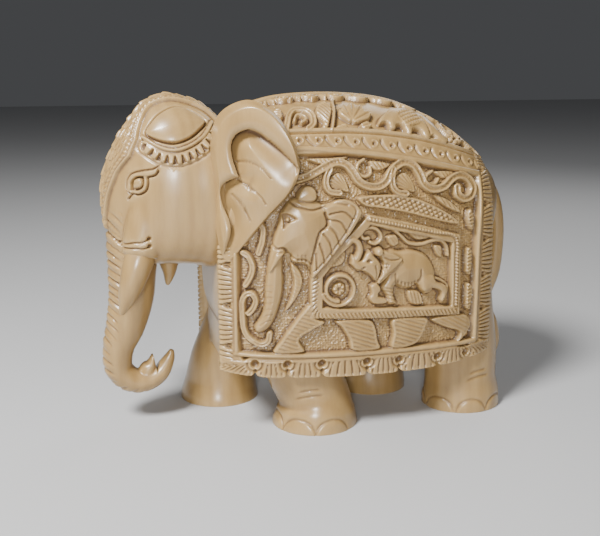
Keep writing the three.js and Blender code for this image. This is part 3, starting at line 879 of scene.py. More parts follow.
TAIL_LEAF = [
    [35, 50], [43.2, 51.4], [53.6, 50.4], [57, 45.4], [54.2, 40.4], [48.8, 36.8], [50.4, 42],
    [42.6, 45.4],
]
SMALL_TRUNK = [[-2.6, 79], [-0.8, 82], [0, 85], [-1.2, 88], [-3.8, 89.2], [-5.6, 87.6]]
SMALL_HEAD = [
    [2.1, 83.0], [4.6, 84.3], [6.5, 82.1], [9.7, 78.2], [9.5, 73.7], [7.5, 69.8], [4.8, 72.4],
    [1.2, 74.8], [-0.6, 74.8], [-3.2, 76.6], [-4.4, 80.2], [-3.4, 83.0], [-1.9, 81.0], [0.5, 80.5],
]
SMALL_BODY = [
    [13.5, 83.6], [18.9, 83.2], [24.5, 83.2], [30.3, 81.3], [34.5, 77.2], [36.6, 72.3], [36.4, 66.9],
    [35.0, 63.0], [31.4, 62.2], [29.1, 64.2], [27.2, 66.9], [24.3, 65.3], [20.0, 65.8], [17.0, 67.2],
    [16.8, 63.2], [18.0, 58.9], [13.9, 58.9], [12.8, 62.9], [10.2, 67.0], [12.6, 71.5], [13.2, 78],
]
SMALL_FORELEG = [
    [4.9, 68.2], [8.1, 69.6], [10.6, 66.3], [9.4, 63.4], [13.6, 61.2], [12.6, 59.2], [6.8, 59.4],
    [4.3, 62.6], [5.4, 64.8],
]
SMALL_HIND_LEG = [
    [29.2, 71.4], [34.7, 71.8], [37.1, 68.2], [41.6, 66.2], [43.0, 62.9], [40.4, 57.8], [38.6, 58.8],
    [38.8, 62.6], [34.6, 64.6], [30.9, 63.2], [28.8, 66],
]
SMALL_LEG = [[23.0, 64.6], [29.2, 63.6], [30.9, 57.8], [25.0, 58.1]]
SMALL_CLOTH = [
    [9.8, 83.7], [14.7, 82.8], [19.9, 79.2], [17.0, 75.5], [12.8, 72.2], [8.8, 69.0], [7.7, 70.3],
    [9.5, 73.7], [10.4, 78.2], [9.1, 80.7],
]
SMALL_TAIL = [[36.4, 69.6], [40.6, 67.4], [42.8, 65.2], [42.4, 61.6], [40.2, 57.8]]
SMALL_BELLY = [
    [15.6, 72.6], [17.2, 68.6], [20, 66], [24.3, 65.4], [27.4, 67], [28.6, 70.6], [24.6, 69.2],
    [19, 70],
]
SMALL_GIRTH = [[16.4, 73], [17, 69], [20, 66.6], [24.3, 66], [27.4, 67.6], [28.8, 71], [28.6, 74]]
SMALL_KNEE = [[10.6, 67], [16.8, 66], [17.6, 59.4], [13.6, 59.4]]
SMALL_EYE = [[2.4, 79.4], [3.8, 80.9], [5.4, 79.6], [4, 78.4]]
SMALL_CLOTH_FIELD = [[10.6, 79], [13.6, 78.4], [11.4, 74.2], [9.8, 74.6]]
SPIRAL_CENTRE = [-9.2, 67.4]
PANEL_SCROLLS = [
    [
        [4.6, 87.8], [6.8, 86.9], [9.3, 88.3], [9.6, 90.9], [6.9, 93.7], [3.2, 94.0], [0.7, 92.3],
        [1.4, 89.6], [4.0, 89.4],
    ],
    [
        [11.8, 93.9], [15.5, 92.8], [19.7, 89.1], [23.3, 86.2], [29.1, 85.4], [34.2, 86.6],
        [38.7, 86.4], [41.8, 83.5], [42.7, 79.4],
    ],
]
PANEL_LEAVES = [
    [[12.6, 89.6], [17, 90.2], [18.2, 86.4], [15, 85.2]],
    [[22.6, 91], [31.8, 90.2], [33.4, 88], [27, 87.4]],
    [[35.4, 84.2], [39.4, 83.6], [39.6, 78.6], [37.4, 79.6]],
    [[-14.3, 78.7], [-7.2, 84.3], [-6.5, 80.7], [-8.6, 78.1], [-13.7, 77.0]],
]
FRONT_SCROLLS = [
    [[-50, 88.6], [-50.6, 92.6], [-48.4, 96.2], [-45, 97.4], [-42.2, 95.6], [-42.4, 90], [-44, 84.4]],
    [[-50.4, 84.6], [-48.2, 82.8], [-46.6, 78.6], [-47.4, 74.4], [-49.6, 70.4]],
    [
        [-48.4, 57.8], [-46.4, 60.2], [-45.4, 63.6], [-47.2, 66.6], [-49.6, 66], [-51, 63], [-51, 57],
        [-50.6, 51.4], [-49, 47.4], [-46, 44.8], [-43, 43.6], [-40.4, 45], [-39.6, 48.6],
    ],
]
REAR_LINKS = [
    [[54.2, 99.8], [56.2, 95.2], [55.6, 89.4], [53.4, 92.4], [52.4, 96.6]],
    [[52.8, 81.2], [55.8, 80], [55.6, 69.6], [53, 70.8]],
    [[53.6, 64.6], [56.8, 63], [56.2, 52.8], [53.8, 54]],
]
RUNNER_SCROLL = [
    [-30, 134.6], [-28.4, 138.4], [-26.8, 141.6], [-23.8, 143.7], [-19.1, 143.6], [-16.9, 141.6],
    [-17.2, 138.3], [-19.8, 136.3],
]
RUNNER_CURL = [[-25.3, 139.3], [-23.5, 141.6], [-20.7, 141.3], [-20.1, 139.9], [-22.3, 138.7]]
RUNNER_LEAVES = [
    [
        [
            [-12.5, 146], [-8.5, 146.8], [-6.9, 144.4], [-9.2, 140.2], [-11.6, 136.1], [-14.4, 136.2],
            [-12.9, 138.9], [-14.8, 140.9], [-15, 143.6],
        ],
        30,
    ],
    [[[-8, 136.9], [-3.3, 138.1], [-2.2, 136], [-5.8, 135.4]], 70],
    [[[3.2, 137.6], [7, 139], [9, 136.8], [5.6, 135.2]], 110],
    [[[-34, 142], [-30, 144.6], [-29.4, 141.4], [-32.6, 138.6]], 60],
]
FLOWER_FOOT = [0.1, 138.6]
FLOWER_TIPS = [[-4.4, 143.8], [-1.6, 145.4], [3.2, 146], [7.4, 145], [10.4, 142.4]]
RUNNER_ELEPHANT = [
    [16.2, 141.6], [19.9, 143], [26.7, 143], [32, 141.6], [37.6, 139], [41.1, 135.4], [43.6, 131.6],
    [46.4, 128.8], [44.1, 127.6], [40.4, 129.2], [38, 131.4], [35.6, 130], [33, 130.9], [31.6, 134],
    [28.4, 134.4], [27, 132.4], [24.6, 133], [23.4, 136], [20.6, 136.4], [19.4, 134.6], [16.4, 135],
    [15.8, 137.6], [12.1, 137.4], [12.8, 139.6],
]
RUNNER_DIVIDER = [[-4.4, 147], [-5.9, 146.2], [-6.5, 143.5], [-8.1, 139.5], [-9.8, 135.4]]
RUNNER_SADDLE = [[22, 141.4], [31, 141], [33.4, 136.6], [27, 135.4], [23, 137]]
RUNNER_RINGS = [
    [[47.6, -24], [45.6, -19], [47, -14.6], [51, -12.6], [55, -14.4], [56.2, -18], [54, -21.6]],
    [[59, -21], [57.6, -16.4], [59.4, -12], [63, -10.6], [66, -13], [66.6, -17]],
]
RUNNER_BEADS = [[50.2, -22.6], [52, -24], [50.8, -25.6], [49, -25.4], [60.6, -20.4], [62.4, -21.6]]
RUNNER_HOLES = [[0.6, 136.6], [10.2, 136.4], [-22.9, 140.2], [12.6, 141.8], [-12.4, 135], [28.6, 131.4]]
BIG_EYE = [[-34.6, 101.6], [-31.4, 101.8], [-27.8, 99.2], [-31, 97.4], [-33.8, 94.6], [-34, 98.4]]
# The ridges round the field: path, width, and rise above the border.
BORDER_RIDGES = [
    [[[-53.5, 84], [-53.5, 60], [-53.5, 39.4]], 2.0, 0.9],
    [[[-54, 39.2], [-31, 38], [-4, 37.4], [27, 37], [59.4, 36.9]], 2.4, 0.7],
    [[[60.6, 115], [60.2, 100], [59.4, 83], [59.4, 60], [59.4, 37]], 2.4, 0.7],
    [RIDGE, 3.0, 0.9],
]
# The fringes at both ends: where each starts in x, its outward direction, and the heights of its holes.
FRINGES = [[-54.9, -1, [113, 96, 79, 61, 42.5, 24]], [61.8, 1, [133, 117, 101, 85, 68, 52, 36, 20]]]
# How far the shells' flutes take to spread out, and the heights where they and the hem start.
SHELL_REACH = 5.5
HEM_SHELLS_TOP = 34.6
HEM_TOP = 36.2
# Angles round each foot, outwards from the front: the middles of its toes, and of its ankle creases.
FOOT_TOES = [[-47.5, 1.5, 50.5, 99.5], [50.5, 99.5], [-21, 31, 84, 134], [31, 84, 134]]
FOOT_CREASES = [66, 66, 96, 96]
# The drilled cups along the hem, x then z.
HEM_CUPS = [[-46, 35], [-32, 34.6], [-16.6, 34.2], [4.2, 33.8], [19.6, 33.2], [39, 32.6], [54.4, 32.6]]


def carve_vine(relief, border):
    """The scrolling vine with its loops, curls and leaves."""
    for leaf in HEART_LEAVES:
        tip = SKIN.lay([leaf[4]])[0]
        relief.add_cut_form(SKIN.outline(leaf), (border * 0.7, 0.6, 0.4), fan(tip, 34, 0.5), 0.4)
    add_ribbon(relief, SKIN.path(VINE_STEM), 4.0, border + 0.5)
    for loop in VINE_LOOPS:
        add_ribbon(relief, SKIN.path(loop), 3.2, border + 0.5)
    for curl in VINE_CURLS:
        relief.add_stem(SKIN.path(curl), 1.7, border, 0.1)
    for leaf in VINE_LEAVES:
        relief.add_cut_form(SKIN.outline(leaf), (border * 0.8, 0.6, 0.3), stripes(35, 1.5, 0.45), 0.3)


def carve_panel_frame(relief, border):
    """The panel's frame with its rope and beads, and the punched ground inside it."""
    field = SKIN.outline(PANEL_FIELD, 1)
    relief.add_form(SKIN.outline(PANEL, 1), border + 0.4, 0.6)
    relief.cut_form(field, border + 0.7, 0.8)
    relief.texture(field, dimples(1.1, 0.35, 8.0), 0.6)
    add_rope(relief, SKIN.path(PANEL_ROPE, 6), 2.6, 0.5)
    add_beads(relief, SKIN.path(PANEL_BEADS, 6), 1.5, 0.5)


def carve_panel_scrolls(relief, border):
    """The scrolls and leaves round the small elephant, and the curled rosette in front of it."""
    for scroll in PANEL_SCROLLS:
        relief.add_stem(SKIN.path(scroll), 1.8, border)
    for leaf in PANEL_LEAVES:
        relief.add_cut_form(SKIN.outline(leaf), (border * 0.8, 0.5, 0.2), stripes(40, 1.3, 0.3), 0.2)
    centre = SKIN.lay([SPIRAL_CENTRE])[0]
    relief.add_stem(spiral(centre, 7.6, 5.4, 3.4, 1.2), 2.1, border + 0.7)
    relief.add_form(disc(centre, 3.1), border, 0.8, 0.5)
    relief.texture(disc(centre, 3.3), fan(centre, 7, 0.9), 0.2)
    cut_hole(relief, centre, 0.9, 0.9)


def carve_big_head(relief, figure):
    """The carved elephant's head: a domed brow, a folded mouth, a tusk and a veined ear."""
    relief.add_form(SKIN.outline(BIG_HEAD), figure * 0.55, 1.2, figure * 1.1, 5)
    relief.add_form(SKIN.outline(BIG_EAR), figure + 0.3, 0.8, 0.6, 2.0)
    for vein in BIG_VEINS:
        relief.cut_line(SKIN.path(vein), 1.2, 0.9, 0.3)
    relief.cut_line(SKIN.path(BIG_EAR_RIM), 1.0, 0.6)
    relief.cut_line(SKIN.path(BIG_EAR_FOLD), 1.4, 1.1)
    relief.add_form(SKIN.outline(BIG_DOME), figure + 0.4, 1.2, 1.2, 2.5)
    relief.cut_line(SKIN.path(BIG_CAP), 1.3, 1.0)
    # Eye: a three-cornered cut with a ball in it.
    relief.cut_form(SKIN.outline(BIG_EYE, 4), 1.6, 0.7)
    relief.add_form(disc(SKIN.lay([[-31.8, 99]])[0], 1.1), figure * 1.25, 0.6, 0.3)
    # Mouth and cheek folds.
    relief.cut_line(SKIN.path(BIG_MOUTH), 1.4, 1.3)
    relief.cut_line(SKIN.path(BIG_CHEEK), 1.1, 0.8)
    for x in (-27.6, -26, -24.4):
        relief.cut_line(SKIN.path([[x, 83.6], [x + 0.4, 80]]), 0.8, 0.4)
    relief.add_form(SKIN.outline(BIG_TUSK), figure + 0.5, 0.9, 0.9, 1.6)
    for z in np.arange(54.5, 72, 2.6):
        relief.cut_line(SKIN.path([[-44, z - 2.2], [-41, z], [-38.4, z + 0.4]]), 0.8, 0.4, 0.5)


def carve_small_elephant(relief, border, figure):
    """The small elephant in the panel, with its rider, cloth and curled trunk."""
    relief.add_form(SKIN.outline(SMALL_LEG, 4), border * 0.75, 0.9, 0.4)
    relief.add_form(SKIN.outline(SMALL_FORELEG, 5), border * 0.85, 0.9, 0.5)
    relief.add_form(SKIN.outline(SMALL_BODY), border * 0.8, 1.1, 2.2, 4.5)
    relief.add_form(SKIN.outline(SMALL_HIND_LEG, 5), border + 0.9, 0.9, 0.8, 2.0)
    relief.add_stem(SKIN.path(SMALL_TAIL), 1.4, border)
    relief.texture(SKIN.outline(SMALL_BELLY), stripes(10, 1.6, 0.8), 0.2)
    relief.cut_line(SKIN.path(SMALL_GIRTH), 0.9, 0.7)
    relief.texture(SKIN.outline(SMALL_KNEE, 4), stripes(80, 1.7, 0.5), 0.2)
    relief.texture(SKIN.outline(SMALL_LEG, 4), stripes(15, 1.6, 0.4), 0.4)
    # Trunk, head, eye, mouth and the fold behind the cheek.
    relief.add_stem(SKIN.path(SMALL_TRUNK), 3.6, border + 1.0, 0, 0.25)
    relief.add_form(SKIN.outline(SMALL_HEAD), border + 0.6, 0.9, 1.2, 2.6)
    relief.cut_form(SKIN.outline(SMALL_EYE, 4), 0.9, 0.5)
    relief.cut_line(SKIN.path([[-2.9, 76.2], [-0.3, 75.6], [1.8, 77]]), 1.0, 0.9)
    relief.cut_line(SKIN.path([[7.0, 70.4], [7.6, 73.6], [6.8, 77.4]]), 0.9, 0.6)
    # The cloth on its back, and the rider's head.
    relief.add_form(SKIN.outline(SMALL_CLOTH), border + 1.7, 0.5, 0.3)
    relief.cut_line(SKIN.path([[19.4, 79], [16.4, 76.2], [12.2, 73], [8.8, 70.2]]), 0.9, 0.6)
    relief.texture(SKIN.outline(SMALL_CLOTH_FIELD, 4), dimples(1.4, 0.8, 2.0), 0.2)
    relief.cut_line(SKIN.path([[10.6, 81], [13.6, 79.6], [18, 79.8]]), 0.9, 0.6)
    relief.add_form(disc(SKIN.lay([[8.4, 83.4]])[0], 2.6), figure + 0.5, 1.3, 1.1, 1.0)
    cut_hole(relief, SKIN.lay([[2.7, 71.8]])[0], 1.4, 0.9)


def carve_side(relief):
    """The side of the saddle cloth: borders, vine, and the elephant with its own panelled cloth."""
    sizes = bpy.context.scene.elephant_carving
    border = sizes.border_relief / MM
    figure = sizes.figure_relief / MM
    relief.height[:] = border
    ground = SKIN.outline(FIELD)
    relief.cut_form(ground, border + 0.6, 0.9)
    relief.texture(ground, dimples(1.15, 0.55, 3.0), 0.8)
    carve_vine(relief, border)
    relief.add_cut_form(SKIN.outline(CANOPY), (border + 0.2, 0.6, 0.2), crossed(25, 115, 1.9, 0.8), 1.0)
    # The large elephant's legs, the leaf at its tail and the leaf under its tusk.
    for leg in BIG_LEGS:
        relief.add_cut_form(SKIN.outline(leg), (border, 0.8, 0.8), stripes(70, 1.8, 0.45, 2), 1.4)
    relief.add_cut_form(SKIN.outline(TAIL_LEAF), (border, 0.7, 0.6), stripes(60, 1.8, 0.3), 0.8)
    relief.add_cut_form(SKIN.outline(ACANTHUS), (border, 0.7, 0.4), stripes(60, 1.6, 0.35), 0.5)
    carve_panel_frame(relief, border)
    carve_big_head(relief, figure)
    carve_small_elephant(relief, border, figure)
    carve_panel_scrolls(relief, border)
    # Scrolls in front of the trunk, and the links behind the panel.
    for scroll in FRONT_SCROLLS:
        add_ribbon(relief, SKIN.path(scroll), 2.9, border + 0.4)
    for link in REAR_LINKS:
        relief.add_cut_form(SKIN.outline(link), (border + 0.2, 0.5, 0.4), stripes(110, 1.6, 0.6), 0.4)
    # Plain ridges all round the field, and fluted fringes outside them.
    for path, width, rise in BORDER_RIDGES:
        relief.add_stem(SKIN.path(path), width, border + rise)
    carve_fringes(relief, border)
    carve_band(relief)
    # The corner that the ear hides lies lower.
    behind = smoothstep((-45 - relief.across) / 4) * smoothstep((relief.up + 2) / 5)
    relief.height = relief.height * (1 - behind) - 0.8 * behind


def disc(centre, radius, corners=20):
    turn = np.linspace(0, 2 * math.pi, corners, endpoint=False)
    return np.column_stack([centre[0] + radius * np.cos(turn), centre[1] + radius * np.sin(turn)])


def spiral(centre, outer, inner, start, turns):
    """A spiral path from an outer to an inner radius, start being the angle where it begins."""
    turn = np.linspace(0, 2 * math.pi * turns, int(40 * turns))
    radius = np.linspace(outer, inner, turn.size)
    turn = turn + start
    return np.column_stack([centre[0] + radius * np.cos(turn), centre[1] + radius * np.sin(turn)])


def add_rope(relief, path, width, height):
    """A twisted rope laid on what is there."""
    at, away, side, along, _ = relief.line(path, width)
    round_top = bowl(away, width / 2)
    strand = 0.5 + 0.5 * np.cos(2 * math.pi * (along / 1.9 + side / 2.6))
    rope = height * round_top * strand**0.7 - 0.35 * (1 - strand)
    relief.height[at] += np.where(away < width / 2, rope, 0)


def add_beads(relief, path, pitch, height):
    """A row of small beads in a shallow channel."""
    at, away, _, along, _ = relief.line(path, 1.6)
    step = (along / pitch) % 1 - 0.5
    bead = 1 - (step * pitch / 0.75) ** 2 - (away / 0.75) ** 2
    relief.height[at] += np.where(away < 1.2, -0.3 + height * np.sqrt(np.clip(bead, 0, 1)) * 2, 0)


def add_ribbon(relief, path, width, height):
    """A broad flat ribbon with thin raised edges and a pricked middle."""
    at, away, _, _, _ = relief.line(path, width / 2 + 1)
    depth = width / 2 - away
    level = height * smoothstep(depth / 0.5)
    level += 0.35 * bump(depth - 0.65, 0.38)
    prick = dimples(1.05, 0.35, 5.0)(relief.across[at], relief.up[at])
    level += (prick - 0.15) * smoothstep((depth - 1.1) / 0.4)
    inside = depth > 0
    relief.height[at[inside]] = np.maximum(relief.height[at[inside]], level[inside])
    rim = (depth <= 0) & (depth > -1)
    relief.height[at[rim]] -= 0.45 * (1 + depth[rim]) * (relief.height[at[rim]] < 0.5)


def cut_hole(relief, centre, radius, depth):
    """A drilled hole."""
    relief.height -= depth * bowl(np.hypot(relief.across - centre[0], relief.up - centre[1]), radius)


def from_spine(points):
    """Places in side view as x and the way up from the spine, which is never above 0."""
    laid = SKIN.lay(points)
    laid[:, 1] -= np.interp(laid[:, 0], SKIN.x, SKIN.top)
    return laid


def over_back(points, steps=8, closed=False):
    """A smooth path on the runner through places in side view."""
    return smooth_path(from_spine(points), steps, closed)


def hem_height(x):
    """The cloth's lower edge: shallow scallops that meet under the drilled cups."""
    line = smooth_path(HEM, 8)
    z = np.interp(x, line[:, 0], line[:, 1])
    cups = np.array([cup[0] for cup in HEM_CUPS])
    gap = np.abs(x[:, None] - cups).min(axis=1)
    return z + 1.5 * np.exp(-((gap / 1.1) ** 1.2))


def shell_row(place, stops, outward, narrow, count):
    """The cuts of a row of shells: flutes that start close together between stops and spread outwards."""
    cell = np.clip(np.searchsorted(stops, place), 1, len(stops) - 1)
    low = stops[cell - 1]
    wide = stops[cell] - low
    middle = low + wide / 2
    spread = 1 - narrow / np.maximum(wide, 1e-6) * 2 * (1 - np.clip(outward, 0, 1)) ** 1.5
    lean = (place - middle) / (wide * np.maximum(spread, 0.25)) + 0.5
    flute = np.abs((lean * count) % 1 - 0.5) * 2
    return smoothstep((flute - 0.62) / 0.38) ** 1.3 * (outward > 0)


def carve_fringes(relief, border):
    """The fluted fringes: shells between drilled cups along the hem and up both ends."""
    x, way = relief.across, relief.up
    cups = SKIN.lay(HEM_CUPS)
    flutes = shell_row(x, cups[:, 0], (HEM_SHELLS_TOP - WAIST - way) / SHELL_REACH, 2.4, 6)
    hem = smoothstep((HEM_TOP - WAIST - way) / 0.6)
    # The flutes run out towards the cloth's lower edge.
    edge = smoothstep((way - hem_height(x) + WAIST) / 1.8)
    relief.height += 0.5 * hem
    relief.height -= hem * 1.15 * flutes * (0.25 + 0.75 * edge)
    for cup in cups:
        hole = np.hypot(x - cup[0], way - cup[1] + 0.4)
        # A ring round the lower half of each cup takes the place of the flutes there.
        low = smoothstep((cup[1] + 0.8 - way) / 0.8) * smoothstep((4.7 - hole) / 0.5)
        ring = 0.15 * border - 0.9 * bump(hole - 3.2, 0.42) + border
        relief.height = relief.height * (1 - low) + ring * low
        relief.height -= 2.4 * bowl(hole, 2.0)
        relief.height -= 1.4 * bump(x - cup[0], 0.6) * (way < cup[1] - 2.6)
    # The fringe in front, under the ear, and the one behind.
    for start, outwards, stops in FRINGES:
        stops = np.array(stops, dtype=float)[::-1] - WAIST
        outward = (x - start) * outwards
        flutes = shell_row(way, stops, outward / SHELL_REACH, 1.6, 8)
        share = smoothstep(outward / 0.7) * (way > 35.6 - WAIST)
        relief.height += 0.4 * share
        relief.height -= share * 1.25 * flutes
        for stop in stops:
            hole = np.hypot(outward - 1.8, way - stop)
            relief.height -= 1.5 * bowl(hole, 1.6) * (way > 37 - WAIST)


def carve_band(relief):
    """The band of leaf curls and ringed dots under the runner."""
    path = SKIN.path(BAND_MIDDLE)
    at, away, side, along, _ = relief.line(path, 4)
    inside = np.clip(1 - (away / 2.8) ** 6, 0, 1)
    drop = np.clip((2.6 - side) / 5.2, 0, 1)
    pitch = 8.2
    relief.height[at] -= 0.2 * inside
    for shift, wide, deep in ((0.0, 0.55, 0.8), (0.13, 0.4, 0.5)):
        lean = (along - 3.4 * drop**2) / pitch + shift * drop
        phase = (lean % 1 - 0.5) * pitch
        relief.height[at] -= inside * deep * bump(phase, wide)
    dot = np.hypot(((along / pitch) % 1 - 0.12) * pitch, side - 0.3)
    relief.height[at] += inside * 0.45 * bump(dot - 1.5, 0.4)
    relief.height[at] -= np.clip(1 - (dot / 1.1) ** 2, 0, 1)
    relief.cut_line(SKIN.path(BAND_TOP), 1.2, 0.8)


def carve_runner(relief):
    """The runner over the back: scrolls, leaves, a flower and a small elephant, the same on both sides."""
    border = bpy.context.scene.elephant_carving.border_relief / MM
    x, w = relief.across, relief.up
    high = border + 0.5
    relief.height += dimples(1.2, 0.5, 5.0)(x, w) - 0.35
    # Scrolls and leaves along both sides of the spine.
    for number, start in enumerate(range(-38, 64, 12)):
        relief.add_stem(spiral(np.array([start, -7.6]), 4.2, 1.3, start, 1.5), 1.9, high + 0.3)
        petal = [[start + 3.6, -3.4], [start + 8.6, -4], [start + 8, -10.6], [start + 5.2, -8.4]]
        cuts = stripes(60 + 60 * (number % 2), 1.6, 0.55)
        relief.add_cut_form(smooth_path(petal, 6, True), (high, 0.6, 0.5), cuts, 0.3)
        cut_hole(relief, [start + 2.6, -3.4], 1.0, 0.8)
    # In front of the divider: a scroll and leaves, one of them tall.
    add_ribbon(relief, over_back(RUNNER_SCROLL), 3.2, high)
    relief.add_stem(over_back(RUNNER_CURL), 1.8, high + 0.2)
    for leaf, angle in RUNNER_LEAVES:
        relief.add_cut_form(over_back(leaf, 6, True), (high, 0.6, 0.6), stripes(angle, 1.5, 0.65), 0.3)
    relief.add_stem(over_back(RUNNER_DIVIDER), 1.5, high + 0.5)
    # The flower behind it, its petals spread from one foot.
    foot = from_spine([FLOWER_FOOT])[0]
    for tip in from_spine(FLOWER_TIPS):
        side = np.array([foot[1] - tip[1], tip[0] - foot[0]]) * 0.24
        middle = foot * 0.4 + tip * 0.6
        outline = smooth_path([foot, middle - side, tip, middle + side], 6, True)
        relief.add_form(outline, high, 0.6, 0.5)
        relief.cut_line(np.array([foot, tip * 0.9 + foot * 0.1]), 0.9, 0.6)
    # The small elephant walking towards the tail, with a cloth on its back.
    relief.add_form(over_back(RUNNER_ELEPHANT, 6, True), high + 0.3, 0.7, 1.3, 2.5)
    saddle = over_back(RUNNER_SADDLE, 6, True)
    relief.add_cut_form(saddle, (high + 1.6, 0.5, 0.3), crossed(35, 125, 1.7, 0.5), 0.4)
    relief.cut_line(over_back([[33.6, 138.6], [35.6, 135], [36.4, 132]]), 1.2, 0.8)
    for path in RUNNER_RINGS:
        add_ribbon(relief, smooth_path(path), 2.8, high)
    for centre in ([51.4, -17.6], [62.6, -15]):
        relief.add_form(disc(centre, 1.9), high, 0.6, 0.6)
        relief.texture(disc(centre, 2.1), fan(centre, 6, 0.5), 0.2)
    # Beads, and deep drilled holes between the forms.
    for bead in RUNNER_BEADS:
        relief.add_form(disc(bead, 1.15), high, 0.5, 0.5)
    for hole in from_spine(RUNNER_HOLES):
        cut_hole(relief, hole, 1.5, 1.4)
    cut_hole(relief, [57, -21], 1.4, 1.2)
    cut_hole(relief, [46.6, -12.4], 1.4, 1.2)
    # A ridge along the spine, and one along the runner's edge.
    edge = np.abs(w)
    relief.height = np.maximum(relief.height, (high + 0.6) * np.clip(1 - (edge / 1.9) ** 4, 0, 1))
    low = edge - (np.interp(x, SKIN.x, SKIN.top) - np.interp(x, *SKIN.lay(BAND_TOP).T))
    relief.height = np.maximum(relief.height, (border + 0.5) * np.clip(1 - ((low + 1.6) / 1.3) ** 4, 0, 1))


def runner_edge(x):
    """The way up to the runner's edge, which stays RUNNER_LEAST or more below the spine."""
    seam = np.interp(x, *SKIN.lay(BAND_TOP).T)
    return np.minimum(seam, np.interp(x, SKIN.x, SKIN.top) - RUNNER_LEAST)


def side_place(side):
    """How a side sheet's grid lies: a function for add_sheet, for the near side (1) or the far one (-1)."""

    def place(u, v):
        x = -60 + 129 * u
        for _ in range(4):
            low = hem_height(x) - WAIST
            way = low + v * (runner_edge(x) - low)
            y, z = SKIN.sample(x, way)
            x = front_edge(z) + u * (rear_edge(z) - front_edge(z))
        relief = Relief(x, way)
        carve_side(relief)
        normal = sheet_normals(x, way)
        points = np.column_stack([x, -y, z]) + normal * (relief.height - GROUND_DEPTH)[:, None]
        points[:, 1] *= side
        normal[:, 1] *= side
        return points, -normal

    return place


def sheet_normals(x, way):
    """The ground's outward directions at places along x and ways up the section."""
    step = 0.4
    y0, z0 = SKIN.sample(x - step, way)
    y1, z1 = SKIN.sample(x + step, way)
    along = np.column_stack([np.full(x.shape, 2 * step), -(y1 - y0), z1 - z0])
    y0, z0 = SKIN.sample(x, way - step)
    y1, z1 = SKIN.sample(x, way + step)
    up = np.column_stack([np.zeros(x.shape), -(y1 - y0), z1 - z0])
    normal = np.cross(along, up)
    return normal / np.maximum(np.linalg.norm(normal, axis=1), 1e-9)[:, None]


def runner_place(u, v):
    """How the runner's grid lies over the back, from the near band to the far one."""
    w_share = 2 * v - 1
    x = -44 + 112 * u
    for _ in range(3):
        spine = np.interp(x, SKIN.x, SKIN.top)
        w = np.abs(w_share) * (spine - runner_edge(x))
        y, z = SKIN.sample(x, spine - w)
        x = front_edge(z) + u * (rear_edge(z) - front_edge(z))
    relief = Relief(x, -w)
    carve_runner(relief)
    normal = sheet_normals(x, np.minimum(spine - w, spine - 0.5))
    share = np.clip(w / 0.6, 0, 1)
    normal[:, 1] *= share
    normal /= np.linalg.norm(normal, axis=1)[:, None]
    points = np.column_stack([x, -y, z]) + normal * (relief.height - GROUND_DEPTH)[:, None]
    right = w_share > 0
    points[right, 1] *= -1
    normal[right, 1] *= -1
    return points, -normal


def cut_wedge(piece, corners, width):
    """Cuts a three-cornered notch through a piece, straight across it from side to side."""
    bpy.ops.object.select_all(action="DESELECT")
    bpy.ops.mesh.primitive_cylinder_add(vertices=3, radius=1, depth=1)
    wedge = bpy.context.object
    points = read_points(wedge)
    turn = np.arctan2(points[:, 1], points[:, 0])
    _, which = np.unique(np.round(turn, 3), return_inverse=True)
    corner = np.array(corners)[which]
    side = np.where(points[:, 2] > 0, 1.0, -1.0)
    write_points(wedge, to_frame(np.column_stack([corner[:, 0], side * width / 2, corner[:, 1]])))
    make_outward(wedge)
    apply_modifier(piece, "BOOLEAN", operation="DIFFERENCE", object=wedge, solver="MANIFOLD")
    bpy.data.objects.remove(wedge)


def blend_cheeks(piece):
    """Smooths the tops of the cheeks into the flanks of the head, and leaves the rest as it is."""
    x, y, z = to_drawing(read_points(piece)).T
    share = smoothstep((z - 82) / 8) * smoothstep((118 - z) / 6) * smoothstep((x + 97) / 5)
    share *= smoothstep((-68 - x) / 6) * smoothstep((np.abs(y) - 8) / 4)
    group = piece.vertex_groups.new(name="cheeks")
    for step in range(1, 9):
        chosen = np.nonzero(np.round(share * 8) == step)[0]
        group.add(chosen.tolist(), step / 8, "REPLACE")
    apply_modifier(piece, "SMOOTH", factor=0.5, iterations=260, vertex_group=group.name)
    piece.vertex_groups.clear()


def carve_headdress(side):
    """The almond boss on the side of the head, and the toothed band below it."""
    almond = smooth_path(ALMOND, 6, True)
    side.add_form(smooth_path(TOOTHED_BAND, 4, True), 0.9, 0.6)
    side.add_form(almond, 0.9, 0.8, 1.4, 3.5)
    side.cut_line(np.vstack([almond, almond[:1]]), 1.2, 1.0)
    side.add_stem(smooth_path(BAND_RIDGE), 1.6, 1.5)
    at, away, across, along, total = side.line(smooth_path(TOOTH_LINE), 3.2)
    step = np.abs((along / total * TEETH) % 1 - 0.5) * total / TEETH
    # Each tooth is a small block; the dark gaps between them narrow towards the almond.
    solid = total / (2 * TEETH) - 0.62 + 0.2 * across
    tooth = smoothstep((solid - step) / 0.35 + 0.5)
    side.height[at] = np.where(away < 1.6, 1.1 * tooth - 0.8 * (1 - tooth), side.height[at])
    side.height[at] -= 0.5 * bump(across + 2.9, 0.5) + 0.4 * bump(across - 2.9, 0.5)


def carve_eye(side):
    """The eye: a ball between two lids under a winged brow."""
    side.cut_form(smooth_path(EYE_SOCKET, 6, True), 0.5, 2.5)
    side.add_form(smooth_path(BROW, 5, True), 0.75, 0.5, 0.35, 1.2, 0.3)
    side.cut_line(smooth_path(BROW_LOWER), 1.0, 1.0)
    side.cut_line(smooth_path(BROW_UPPER), 0.9, 0.6)
    lid = smooth_path(EYELID)
    side.add_stem(lid + np.array([-0.75, 0.75]), 1.4, 0.5)
    side.cut_line(lid, 1.0, 0.9)
    ball = smooth_path(EYEBALL, 6, True)
    side.add_form(ball, 0.4, 0.6, 1.3, 1.2)
    side.cut_line(np.vstack([ball, ball[:1]]), 0.8, 0.7)


